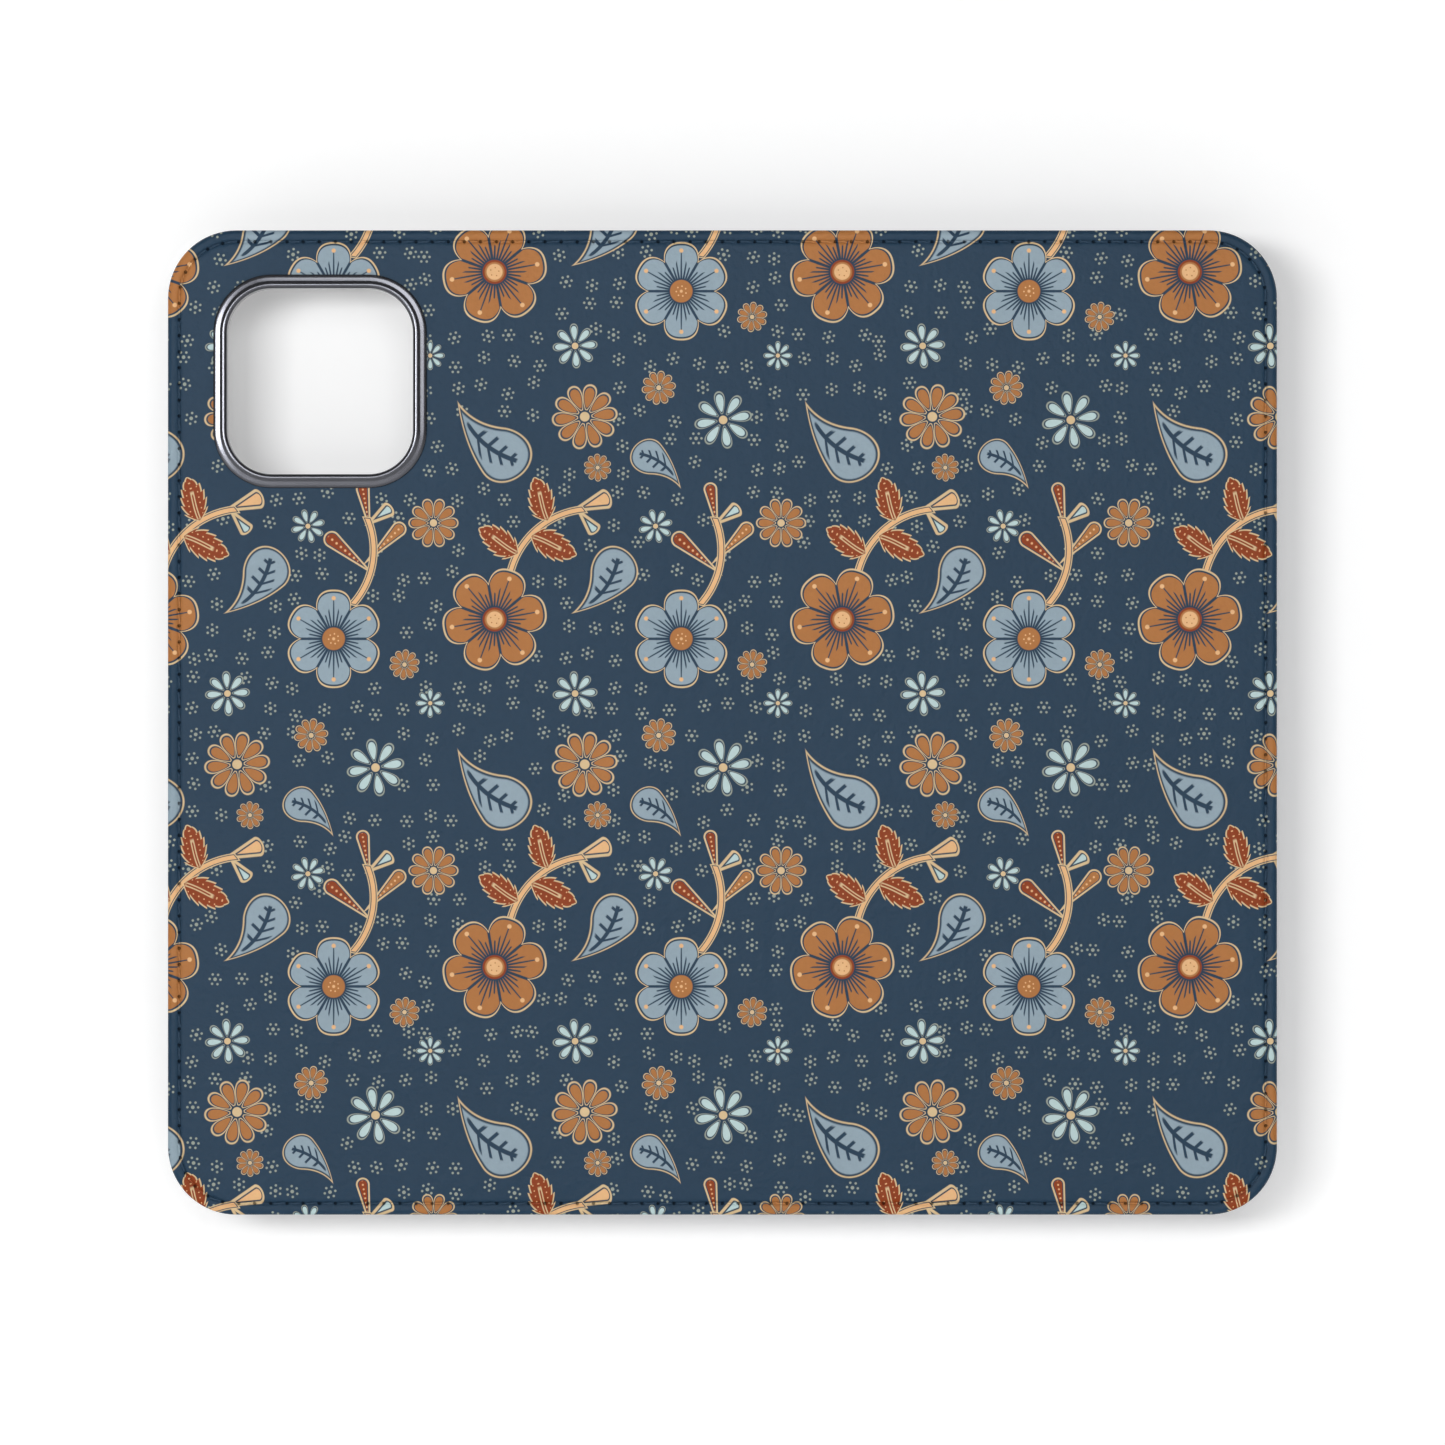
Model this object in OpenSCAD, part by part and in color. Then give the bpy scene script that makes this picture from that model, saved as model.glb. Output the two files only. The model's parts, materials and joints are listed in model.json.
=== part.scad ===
// Folio phone case, opened flat, standing on its bottom edge.
// Origin: centre of the phone's back, on the liner of the phone tray.
// +X runs from the back panel to the front cover, +Y from the outside to the inside, +Z up.

/* [Phone] */
// Width of the phone that the tray holds
phone_w = 71.5; // [66:0.1:90]
// Height of the phone
phone_h = 146.7; // [120:0.1:180]
// Thickness of the phone
phone_t = 7.65; // [6:0.05:11]
// Corner radius of the phone
phone_r = 11; // [6:0.5:16]

/* [Phone tray] */
// Room between the phone and the tray, each side
fit_gap = 0.25; // [0.1:0.05:0.6]
// Thickness of the tray's side walls
tray_wall = 1.5; // [1.2:0.1:2.5]
// Thickness of the tray's floor
tray_floor = 1.0; // [0.8:0.1:2]
// Height of the lip that snaps over the phone's front edge
lip_h = 0.8; // [0.6:0.1:1.5]
// How far the lip reaches in over the phone
lip_over = 0.6; // [0.4:0.1:1.2]
// Play between the phone's face and the lip
lip_play = 0.1; // [0:0.05:0.3]
// Thickness of the soft liner under the phone
liner_t = 0.4; // [0.3:0.1:0.8]
// Distance from the tray's walls to the liner's edge
liner_inset = 1.0; // [0.8:0.1:3]
// Thickness of the adhesive film under the tray
film_t = 0.2; // [0.1:0.05:0.4]
// Distance from the tray's outline to the film's edge
film_inset = 2.0; // [1:0.5:6]

/* [Openings] */
// Clear width of the square camera window
window_w = 28.8; // [16:0.1:34]
// Inner corner radius of the camera window
window_r = 6.9; // [4:0.1:8]
// From the phone's free side to the window's centre
window_side = 20.65; // [20:0.05:30]
// From the phone's top to the window's centre
window_top = 20.35; // [18:0.05:40]
// Length of the slot for the charging socket and speakers
port_l = 46; // [12:1:54]
// Length of the cut-out for the volume keys, on the fold side
volume_l = 38; // [20:1:50]
// From the phone's top to its centre
volume_top = 45.35; // [40:0.05:60]
// Length of the cut-out for the power key, on the free side
power_l = 20; // [14:1:30]
// From the phone's top to its centre
power_top = 51.35; // [45:0.05:60]
// Width of the slots in the tray's walls
slot_w = 5.4; // [4.6:0.1:5.8]

/* [Camera bezel] */
// Width of the bezel's flange around the window
flange_w = 2.2; // [1.5:0.1:4]
// Height of the flange above the outer skin
flange_h = 0.8; // [0.4:0.1:1.5]
// Wall of the bezel's sleeve
sleeve_wall = 0.8; // [0.5:0.1:1.2]
// Room around the sleeve
sleeve_fit = 0.1; // [0.05:0.05:0.3]

/* [Folio] */
// From the tray to the free edge of the back panel
margin_free = 1.3; // [1:0.1:6]
// From the tray to the fold beside the spine
margin_fold = 1.9; // [1.9:0.1:6]
// From the tray to the top and bottom edges
margin_end = 1.4; // [1:0.1:6]
// Radius of the four outer corners
corner_r = 10.6; // [8:0.1:12]
// Thickness of the printed outer skin
skin_t = 0.9; // [0.6:0.1:1.2]
// Thickness of the stiffening boards
board_t = 1.0; // [0.6:0.1:2]
// Thickness of the lining
lining_t = 0.6; // [0.4:0.1:1]
// Thickness of the spine's board
spine_board_t = 0.6; // [0.4:0.1:0.8]
// Thickness of the spine's lining
spine_lining_t = 0.4; // [0.3:0.1:0.6]
// From the outer edges to the boards
board_inset = 3.0; // [2.6:0.1:4.5]
// Half width of the bare strip of skin at a fold
fold_gap = 0.7; // [0.7:0.05:1.2]
// From a fold to the panels' and spine's lining
lining_gap = 2.4; // [2:0.1:3]
// Room between the closed cover's pockets and the tray
close_gap = 0.35; // [0.3:0.05:1]

/* [Seams] */
// From the outer edges to the stitch line
seam_inset = 1.8; // [1.6:0.1:2]
// Width of the groove that the thread lies in
groove_w = 0.6; // [0.5:0.1:0.8]
// Thickness of the thread
thread_w = 0.4; // [0.3:0.05:0.45]
// Depth that the thread lies in the skin
thread_depth = 0.25; // [0.15:0.05:0.3]
// Depth that the thread lies in a pocket's sheet
pocket_thread_depth = 0.15; // [0.1:0.05:0.25]
// From a pocket's edges to its stitch line
pocket_seam_inset = 1.6; // [1.2:0.1:3]

/* [Pockets] */
// Width of a bank card
card_w = 54; // [50:0.1:56]
// Room beside a card up to the pocket's seam, each side
card_gap = 1.4; // [1:0.1:2]
// Thickness of one pocket sheet
sheet_t = 0.35; // [0.3:0.05:0.5]
// Height of the front card pocket
pocket_h = 72; // [60:1:76]
// Height that each pocket behind stands above the one before it
pocket_step = 14; // [8:1:16]
// From the bottom edge to the card pockets
pocket_bottom = 9; // [7:0.5:12]
// From the outer edges to the cash pocket
cash_inset = 4.2; // [3.6:0.1:6]
// From the fold to the cash pocket's mouth
cash_gap = 7; // [5:0.5:8]

/* [Closure] */
// Length of one closure magnet
magnet_l = 20; // [10:1:24]
// Width of one closure magnet
magnet_w = 5; // [4:0.5:8]
// From the board's free edge to the magnets
magnet_rim = 0.8; // [0.6:0.1:3]
// From the panels' top and bottom edges to the magnets
magnet_end = 16.5; // [12:0.5:20]
// Thickness of a steel keeper in the tray's wall
keeper_t = 0.5; // [0.3:0.1:0.6]
// Room around the magnets in their slots
magnet_fit = 0.1; // [0.05:0.05:0.3]

/* [Hidden] */
$fn = 96;
cut = 1;                                        // how far a cutting shape runs past a face

// the phone's bay and the tray around it
bay_w = phone_w + 2 * fit_gap;
bay_h = phone_h + 2 * fit_gap;
bay_r = phone_r + fit_gap;
tray_w = bay_w + 2 * tray_wall;
tray_h = bay_h + 2 * tray_wall;
lip_low = phone_t + lip_play;
tray_top = lip_low + lip_h;
slot_y = phone_t / 2;
volume_z = phone_h / 2 - volume_top;
power_z = phone_h / 2 - power_top;
window_x = window_side - phone_w / 2;
window_z = phone_h / 2 - window_top;

// layers from the inside out, as heights along Y
floor_top = -liner_t;
floor_low = floor_top - tray_floor;
lining_top = floor_low - film_t;
lining_low = lining_top - lining_t;
board_low = lining_low - board_t;
skin_low = board_low - skin_t;
fold_y = board_low - skin_t / 2;
pockets_t = 4 * sheet_t;

// panels, folds and spine
panel_w = margin_free + tray_w + margin_fold;
panel_h = tray_h + 2 * margin_end;
magnet_z = panel_h / 2 - magnet_end - magnet_l / 2;
fold_a = tray_w / 2 + margin_fold;
spine_w = tray_top - fold_y + (lining_top + pockets_t - fold_y) + close_gap;
fold_b = fold_a + spine_w;

// colours
navy = [0.19, 0.26, 0.34];
navy_thread = [0.30, 0.37, 0.45];
lining_grey = [0.24, 0.25, 0.28];
pocket_grey = [0.30, 0.31, 0.34];
tray_black = [0.07, 0.07, 0.08];
gunmetal = [0.35, 0.36, 0.38];
steel = [0.66, 0.67, 0.69];
board_grey = [0.60, 0.58, 0.54];
film_white = [0.85, 0.86, 0.86];

// A plate with the outline of its child (drawn in X and Z) between two heights along Y
module plate(low, high) {
  translate([0, high, 0]) rotate([90, 0, 0]) linear_extrude(high - low) children();
}

// A rectangle with four round corners, centred
module round_rect(w, h, r) {
  square([w - 2 * r, h], center = true);
  square([w, h - 2 * r], center = true);
  for (x = [-1, 1], z = [-1, 1]) translate([x * (w / 2 - r), z * (h / 2 - r)]) circle(r);
}

// Outline of a cover panel, drawn from its fold at X = 0 to its free edge, set in from the edges
module leaf(inset, start) {
  r = corner_r - inset;
  end = panel_w - inset;
  half = panel_h / 2 - inset;
  translate([start, -half]) square([end - r - start, 2 * half]);
  translate([end - r - 1, -half + r]) square([r + 1, 2 * (half - r)]);
  for (z = [-1, 1]) translate([end - r, z * (half - r)]) circle(r);
}

// Band of a panel's stitch line, from near the fold round the free edge
module leaf_seam(width) {
  difference() {
    leaf(seam_inset - width / 2, fold_gap);
    leaf(seam_inset + width / 2, fold_gap - cut);
  }
}

// Bands of the spine's stitch lines, along its top and bottom
module spine_seam(width, gap) {
  for (z = [-1, 1]) {
    translate([fold_a + gap, z * (panel_h / 2 - seam_inset) - width / 2])
      square([spine_w - 2 * gap, width]);
  }
}

// Places a panel's outline on the back panel and on the front cover
module on_back() translate([fold_a, 0, 0]) mirror([1, 0, 0]) children();
module on_front() translate([fold_b, 0, 0]) children();

// The camera window's outline, grown by a margin
module window(grow) {
  w = window_w + 2 * grow;
  translate([window_x, window_z]) round_rect(w, w, window_r + grow);
}

module window_cut(grow) {
  plate(skin_low - cut, floor_top + cut) window(grow);
}

// Skin of a panel, with the groove for its thread
module leaf_skin() {
  difference() {
    plate(skin_low, board_low) leaf(0, fold_gap);
    plate(skin_low - cut, skin_low + thread_depth) leaf_seam(groove_w);
  }
}

// Outline of a panel's board
module board_outline() leaf(board_inset, lining_gap + lining_t);

// Lining of a panel: a shallow pan that closes down on the skin round the board
module leaf_lining() {
  difference() {
    plate(board_low, lining_top) leaf(0, lining_gap);
    plate(board_low - cut, lining_low) board_outline();
    plate(lining_top - thread_depth, lining_top + cut) leaf_seam(groove_w);
  }
}

// A panel's thread, in the skin outside and in the lining inside
module leaf_thread() {
  plate(skin_low, skin_low + thread_depth) leaf_seam(thread_w);
  plate(lining_top - thread_depth, lining_top) intersection() {
    leaf_seam(thread_w);
    translate([lining_gap, -panel_h]) square([panel_w, 2 * panel_h]);
  }
}

// A slot's outline: length l, width w, ends round
module slot(l, w) {
  square([l - w, w], center = true);
  for (x = [-1, 1]) translate([x * (l - w) / 2, 0]) circle(w / 2);
}

// ---- back panel ----

module back_skin() {
  color(navy) difference() {
    on_back() leaf_skin();
    window_cut(sleeve_wall + sleeve_fit);
  }
}

module back_board() {
  color(board_grey) difference() {
    on_back() plate(board_low, lining_low) board_outline();
    window_cut(sleeve_wall + sleeve_fit);
  }
}

module back_lining() {
  color(lining_grey) difference() {
    on_back() leaf_lining();
    window_cut(sleeve_wall + sleeve_fit);
  }
}

module camera_bezel() {
  color(gunmetal) difference() {
    union() {
      plate(skin_low - flange_h, skin_low) window(flange_w);
      plate(skin_low, floor_low) window(sleeve_wall);
    }
    plate(skin_low - flange_h - cut, floor_low + cut) window(0);
  }
}

module bond_film() {
  color(film_white) difference() {
    plate(lining_top, floor_low) {
      round_rect(tray_w - 2 * film_inset, tray_h - 2 * film_inset, bay_r + tray_wall - film_inset);
    }
    window_cut(sleeve_wall + sleeve_fit);
  }
}

module wall_slots() {
  translate([0, slot_y, -tray_h / 2]) linear_extrude(4 * tray_wall, center = true)
    slot(port_l, slot_w);
  translate([tray_w / 2, slot_y, volume_z]) rotate([0, 90, 0])
    linear_extrude(4 * tray_wall, center = true) slot(volume_l, slot_w);
  translate([-tray_w / 2, slot_y, power_z]) rotate([0, 90, 0])
    linear_extrude(4 * tray_wall, center = true) slot(power_l, slot_w);
}

// Two plates in the tray's free-side wall, grown by a margin
module keepers(grow) {
  x = -(bay_w + tray_wall) / 2;
  for (z = [-1, 1]) {
    translate([x - keeper_t / 2 - grow, floor_low - grow, z * magnet_z - magnet_l / 2 - grow])
      cube([keeper_t + 2 * grow, phone_t - floor_low + grow, magnet_l + 2 * grow]);
  }
}

module phone_tray() {
  color(tray_black) difference() {
    plate(floor_low, tray_top) round_rect(tray_w, tray_h, bay_r + tray_wall);
    plate(floor_top, lip_low) round_rect(bay_w, bay_h, bay_r);
    plate(lip_low - cut, tray_top + cut)
      round_rect(bay_w - 2 * lip_over, bay_h - 2 * lip_over, bay_r - lip_over);
    plate(floor_low - cut, floor_top + cut) window(0);
    wall_slots();
    keepers(0);
  }
}

module tray_liner() {
  color(lining_grey) difference() {
    plate(floor_top, 0) {
      round_rect(bay_w - 2 * liner_inset, bay_h - 2 * liner_inset, bay_r - liner_inset);
    }
    plate(floor_top - cut, cut) window(liner_inset);
  }
}

module closure_keepers() color(steel) keepers(0);

module back_stitching() color(navy_thread) on_back() leaf_thread();

// ---- spine ----

module spine_skin() {
  color(navy) difference() {
    translate([fold_a + fold_gap, skin_low, -panel_h / 2])
      cube([spine_w - 2 * fold_gap, skin_t, panel_h]);
    plate(skin_low - cut, skin_low + thread_depth) spine_seam(groove_w, fold_gap - cut);
  }
}

module spine_board() {
  start = lining_gap + spine_lining_t;
  color(board_grey) translate([fold_a + start, board_low, -panel_h / 2 + board_inset])
    cube([spine_w - 2 * start, spine_board_t, panel_h - 2 * board_inset]);
}

module spine_lining() {
  start = lining_gap + spine_lining_t;
  top = board_low + spine_board_t + spine_lining_t;
  color(lining_grey) difference() {
    translate([fold_a + lining_gap, board_low, -panel_h / 2])
      cube([spine_w - 2 * lining_gap, spine_board_t + spine_lining_t, panel_h]);
    translate([fold_a + start, board_low - cut, -panel_h / 2 + board_inset])
      cube([spine_w - 2 * start, spine_board_t + cut, panel_h - 2 * board_inset]);
    plate(top - thread_depth, top + cut) spine_seam(groove_w, lining_gap - cut);
  }
}

module spine_stitching() {
  top = board_low + spine_board_t + spine_lining_t;
  color(navy_thread) {
    plate(skin_low, skin_low + thread_depth) spine_seam(thread_w, fold_gap);
    plate(top - thread_depth, top) spine_seam(thread_w, lining_gap);
  }
}

// ---- front cover ----

module front_skin() color(navy) on_front() leaf_skin();

// The two closure magnets, grown by a margin
module magnets(grow) {
  x = panel_w - board_inset - magnet_rim - magnet_w;
  for (z = [-1, 1]) {
    translate([x - grow, board_low, z * magnet_z - magnet_l / 2 - grow])
      cube([magnet_w + 2 * grow, board_t, magnet_l + 2 * grow]);
  }
}

module front_board() {
  color(board_grey) on_front() difference() {
    plate(board_low, lining_low) board_outline();
    translate([0, -cut / 2, 0]) magnets(magnet_fit);
    translate([0, cut / 2, 0]) magnets(magnet_fit);
  }
}

module front_lining() color(lining_grey) on_front() leaf_lining();

module closure_magnets() color(steel) on_front() magnets(0);

// Where the pockets' sheets lie, counted from the lining: 0 cash, 1 rear, 2 middle, 3 front
function sheet_low(i) = lining_top + i * sheet_t;
card_low_z = pocket_bottom - panel_h / 2;
function mouth_z(i) = card_low_z + pocket_h + (3 - i) * pocket_step;
pocket_w = card_w + 2 * (card_gap + pocket_seam_inset);
cash_end = panel_w - cash_inset;
cash_half = panel_h / 2 - cash_inset;
pocket_x = (cash_gap + cash_end) / 2;

// Outline of the cash pocket, set in from its three sewn sides
module cash_outline(inset) {
  translate([cash_gap, -cash_half + inset]) square([cash_end - cash_gap - inset, 2 * (cash_half - inset)]);
}

// Outline of card sheet i, set in from its sides and bottom
module card_outline(i, inset) {
  translate([pocket_x - pocket_w / 2 + inset, card_low_z + inset])
    square([pocket_w - 2 * inset, mouth_z(i) - card_low_z - inset]);
}

// Stitch line of card sheet i, where no other sheet covers it
module card_seam(i) {
  difference() {
    card_outline(i, pocket_seam_inset - thread_w / 2);
    translate([0, cut]) card_outline(i, pocket_seam_inset + thread_w / 2);
    card_outline(i, pocket_seam_inset + thread_w / 2);
    if (i < 3) {
      translate([pocket_x - pocket_w / 2, card_low_z]) square([pocket_w, mouth_z(i + 1) - card_low_z]);
    }
  }
}

module cash_seam() {
  difference() {
    cash_outline(pocket_seam_inset - thread_w / 2);
    translate([-cut, 0]) cash_outline(pocket_seam_inset + thread_w / 2);
    cash_outline(pocket_seam_inset + thread_w / 2);
  }
}

module cash_pocket() {
  top = sheet_low(1);
  color(pocket_grey) on_front() difference() {
    plate(sheet_low(0), top) cash_outline(0);
    plate(top - pocket_thread_depth, top + cut) cash_seam();
  }
}

module card_pocket(i) {
  top = sheet_low(i + 1);
  color(pocket_grey) on_front() difference() {
    plate(sheet_low(i), top) card_outline(i, 0);
    plate(top - pocket_thread_depth, top + cut) card_seam(i);
  }
}

module card_pocket_rear() card_pocket(1);
module card_pocket_middle() card_pocket(2);
module card_pocket_front() card_pocket(3);

module front_stitching() color(navy_thread) on_front() leaf_thread();

module pocket_stitching() {
  color(navy_thread) on_front() {
    plate(sheet_low(1) - pocket_thread_depth, sheet_low(1)) cash_seam();
    for (i = [1:3]) {
      plate(sheet_low(i + 1) - pocket_thread_depth, sheet_low(i + 1)) card_seam(i);
    }
  }
}

back_skin();
back_board();
back_lining();
camera_bezel();
bond_film();
phone_tray();
tray_liner();
closure_keepers();
back_stitching();
spine_skin();
spine_board();
spine_lining();
spine_stitching();
front_skin();
front_board();
front_lining();
cash_pocket();
card_pocket_rear();
card_pocket_middle();
card_pocket_front();
closure_magnets();
front_stitching();
pocket_stitching();
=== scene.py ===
import json
import math
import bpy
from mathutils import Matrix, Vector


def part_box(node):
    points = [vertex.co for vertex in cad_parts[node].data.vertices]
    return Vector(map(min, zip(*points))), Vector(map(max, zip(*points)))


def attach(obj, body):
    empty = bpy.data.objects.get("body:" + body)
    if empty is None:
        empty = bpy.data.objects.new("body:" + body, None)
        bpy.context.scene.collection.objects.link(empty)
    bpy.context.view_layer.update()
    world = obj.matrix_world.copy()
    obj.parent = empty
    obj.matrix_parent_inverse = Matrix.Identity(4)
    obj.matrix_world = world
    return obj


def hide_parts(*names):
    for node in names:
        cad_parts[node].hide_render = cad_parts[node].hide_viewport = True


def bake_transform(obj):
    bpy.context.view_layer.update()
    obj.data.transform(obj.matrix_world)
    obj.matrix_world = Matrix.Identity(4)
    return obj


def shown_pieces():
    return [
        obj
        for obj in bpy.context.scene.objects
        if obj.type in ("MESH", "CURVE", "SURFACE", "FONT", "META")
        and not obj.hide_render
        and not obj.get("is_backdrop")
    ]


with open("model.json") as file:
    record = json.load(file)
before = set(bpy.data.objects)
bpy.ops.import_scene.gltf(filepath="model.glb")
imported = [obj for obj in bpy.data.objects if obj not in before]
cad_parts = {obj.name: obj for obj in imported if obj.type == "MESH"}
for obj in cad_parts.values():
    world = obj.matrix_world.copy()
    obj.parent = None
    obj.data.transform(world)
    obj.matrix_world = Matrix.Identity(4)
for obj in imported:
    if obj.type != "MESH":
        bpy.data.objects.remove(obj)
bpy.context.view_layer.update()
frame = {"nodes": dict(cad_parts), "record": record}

from types import SimpleNamespace

import bmesh
import bpy
from bpy.props import FloatProperty, FloatVectorProperty, PointerProperty
from mathutils import Vector, noise

bl_info = {
    "name": "Folio phone case",
    "version": (1, 0, 0),
    "blender": (4, 5, 0),
    "location": "View3D > Sidebar > Phone case",
    "description": "Printed folio case with a phone tray, card pockets and edge stitching",
    "category": "Object",
}

MM = 0.001
HINGES = {j["name"]: Vector(j["pos_m"]) / MM for j in frame["record"]["behaviour"]["joints"]}


def edges_of(node):
    """Lowest and highest corner of a node, in millimetres."""
    low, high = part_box(node)
    return Vector(low) / MM, Vector(high) / MM


BACK = edges_of("back_skin")
BOARD = edges_of("back_board")
SPINE_BOARD = edges_of("spine_board")
LINING = edges_of("back_lining")
SPINE_LINING = edges_of("spine_lining")
TRAY = edges_of("phone_tray")
LINER = edges_of("tray_liner")
BEZEL = edges_of("camera_bezel")
FOLD_A = HINGES["spine_fold"].x
FOLD_B = HINGES["cover_fold"].x
SPINE_X = (FOLD_A + FOLD_B) / 2
LEAF = SPINE_X - BACK[0].x
TALL = BACK[1].z
SKIN_OUT, SKIN_IN = BACK[0].y, BACK[1].y
LINING_TOP = LINING[1].y
FOLD_V = SPINE_X - FOLD_A
GLUE_RIM = 3.05           # the rim where skin and lining meet, outside the boards
LINING_STEP = 1.12        # from the lining's face on a board down into the fold
WINDOW_CORNER = 6.9
WINDOW_ROOM = 0.9         # how far skin, lining and tray stay back from the window
BEZEL_BAND = 2.2
TRAY_WALL, TRAY_CORNER = 1.5, 12.75
PHONE_DEPTH = 7.65
POCKET_INSET, MOUTH_GAP = 1.6, 0.8
WALL_Y, WALL_FOOT, FLOOR_Z, STAGE_REACH = 0.0148, -0.6, -0.16, 3.0     # metres
CAMERA_AWAY = 1.247                                   # metres


# ---------------------------------------------------------------- sizes and colours

def code(text):
    """Linear colour of a six-digit colour code."""
    values = [int(text[i:i + 2], 16) / 255 for i in (0, 2, 4)]
    return [v / 12.92 if v <= 0.04045 else ((v + 0.055) / 1.055) ** 2.4 for v in values]


def length(name, description, default, low, high):
    """A length that a user may change. The values here are in millimetres, and it holds metres."""
    return FloatProperty(name=name, description=description, default=default * MM, min=low * MM,
                         max=high * MM, precision=5, subtype="DISTANCE", unit="LENGTH")


def tint(name, description, text):
    """A colour that a user may change."""
    return FloatVectorProperty(name=name, description=description, default=code(text), size=3,
                               min=0.0, max=1.0, subtype="COLOR")


class CaseSizes(bpy.types.PropertyGroup):
    corner: length("Corner radius", "Radius of the folio's outer corners", 10.6, 8, 12)
    roll: length("Edge roll", "How far the skin's outer edge is rounded over", 0.85, 0.4, 0.9)
    seam: length("Seam inset", "From the outer edge to the stitch line", 1.8, 1.6, 2.0)
    pitch: length("Stitch length", "From one needle hole to the next", 2.5, 1.5, 4.0)
    thread: length("Thread thickness", "Diameter of the sewing thread", 0.38, 0.3, 0.5)
    groove: length("Seam groove", "How deep the seam pulls the skin in", 0.17, 0.05, 0.25)
    repeat: length("Print repeat", "Width and height of one repeat of the print", 54.0, 30, 120)


class CaseColours(bpy.types.PropertyGroup):
    ground: tint("Ground", "Navy ground of the print", "1F384D")
    orange: tint("Orange", "Petals of the orange flowers", "A86E3B")
    blue: tint("Blue", "Petals of the blue flowers and the leaves", "8D9FAA")
    cream: tint("Cream", "Outlines", "D1B68C")
    rust: tint("Rust", "Serrated leaves and drops", "883810")
    aqua: tint("Aqua", "Daisies", "B5CBCB")
    dots: tint("Dots", "Small dot rosettes on the ground", "969C90")
    peach: tint("Peach", "Stems, buds and petal dots", "DFB07E")
    lining: tint("Lining", "Microfibre lining", "272C3A")
    pocket: tint("Pockets", "Synthetic leather of the pockets", "2A2E38")
    thread: tint("Thread", "Sewing thread", "3B4654")
    liner: tint("Liner", "Brushed liner under the phone", "2B2D33")
    tray: tint("Tray", "Soft plastic of the phone tray", "17181C")
    bezel: tint("Bezel", "Polished camera bezel", "55565C")


def sizes():
    """The user's sizes, in millimetres."""
    group = bpy.context.scene.case_sizes
    return SimpleNamespace(**{name: round(getattr(group, name) / MM, 4)
                              for name in CaseSizes.__annotations__})


def colours():
    """The user's colours."""
    return bpy.context.scene.case_colours


# ---------------------------------------------------------------- node arithmetic

def feed(tree, socket, value):
    """Gives a socket a number, a colour or the output of another node."""
    if isinstance(value, (Term, Spot)):
        tree.links.new(value.socket, socket)
    elif hasattr(value, "__len__") and len(value) == 3 and len(socket.default_value) == 4:
        socket.default_value = (*value, 1)
    else:
        socket.default_value = value


def calc(tree, operation, *values, clamp=False):
    """One math node."""
    node = tree.nodes.new("ShaderNodeMath")
    node.operation, node.use_clamp = operation, clamp
    for socket, value in zip(node.inputs, values):
        feed(tree, socket, value)
    return Term(tree, node.outputs[0])


def calc_spot(tree, operation, *values, output=0):
    """One vector math node."""
    node = tree.nodes.new("ShaderNodeVectorMath")
    node.operation = operation
    for socket, value in zip(node.inputs, values):
        feed(tree, socket, value)
    return node.outputs[output]


class Term:
    """A number that nodes work out at each point. It adds and multiplies like a plain one."""

    def __init__(self, tree, socket):
        self.tree, self.socket = tree, socket

    def do(self, operation, *others, clamp=False):
        return calc(self.tree, operation, self, *others, clamp=clamp)

    def __add__(self, other):
        return self.do("ADD", other)

    def __sub__(self, other):
        return self.do("SUBTRACT", other)

    def __rsub__(self, other):
        return calc(self.tree, "SUBTRACT", other, self)

    def __mul__(self, other):
        return self.do("MULTIPLY", other)

    def __truediv__(self, other):
        return self.do("DIVIDE", other)

    __radd__, __rmul__ = __add__, __mul__

    def times_plus(self, factor, extra, clamp=False):
        return self.do("MULTIPLY_ADD", factor, extra, clamp=clamp)

    def low(self, other):
        return self.do("MINIMUM", other)

    def high(self, other):
        return self.do("MAXIMUM", other)

    def size(self):
        return self.do("ABSOLUTE")

    def wrap(self, half):
        return self.do("WRAP", half, -half if not isinstance(half, Term) else half * -1)

    def under(self, edge, soft=0.02):
        """1 where this is below edge, 0 above, with a soft step."""
        if isinstance(edge, Term):
            return (edge - self).times_plus(1 / soft, 0.5, clamp=True)
        return self.times_plus(-1 / soft, edge / soft + 0.5, clamp=True)


class Spot:
    """A point that nodes work out."""

    def __init__(self, tree, socket):
        self.tree, self.socket = tree, socket

    def minus(self, x, y):
        return Spot(self.tree, calc_spot(self.tree, "SUBTRACT", self, (x, y, 0)))

    def scaled(self, factor, across=None):
        both = (factor, factor if across is None else across, 1)
        return Spot(self.tree, calc_spot(self.tree, "MULTIPLY", self, both))

    def wrapped(self, period):
        half = (period / 2, period / 2, 1)
        return Spot(self.tree, calc_spot(self.tree, "WRAP", self, half, [-h for h in half]))

    def turned(self, degrees):
        node = self.tree.nodes.new("ShaderNodeVectorRotate")
        node.rotation_type = "Z_AXIS"
        node.inputs["Angle"].default_value = math.radians(-degrees)
        feed(self.tree, node.inputs["Vector"], self)
        return Spot(self.tree, node.outputs[0])

    def far(self):
        return Term(self.tree, calc_spot(self.tree, "LENGTH", self, output=1))

    def parts(self):
        node = self.tree.nodes.new("ShaderNodeSeparateXYZ")
        feed(self.tree, node.inputs[0], self)
        return Term(self.tree, node.outputs[0]), Term(self.tree, node.outputs[1])


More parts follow.
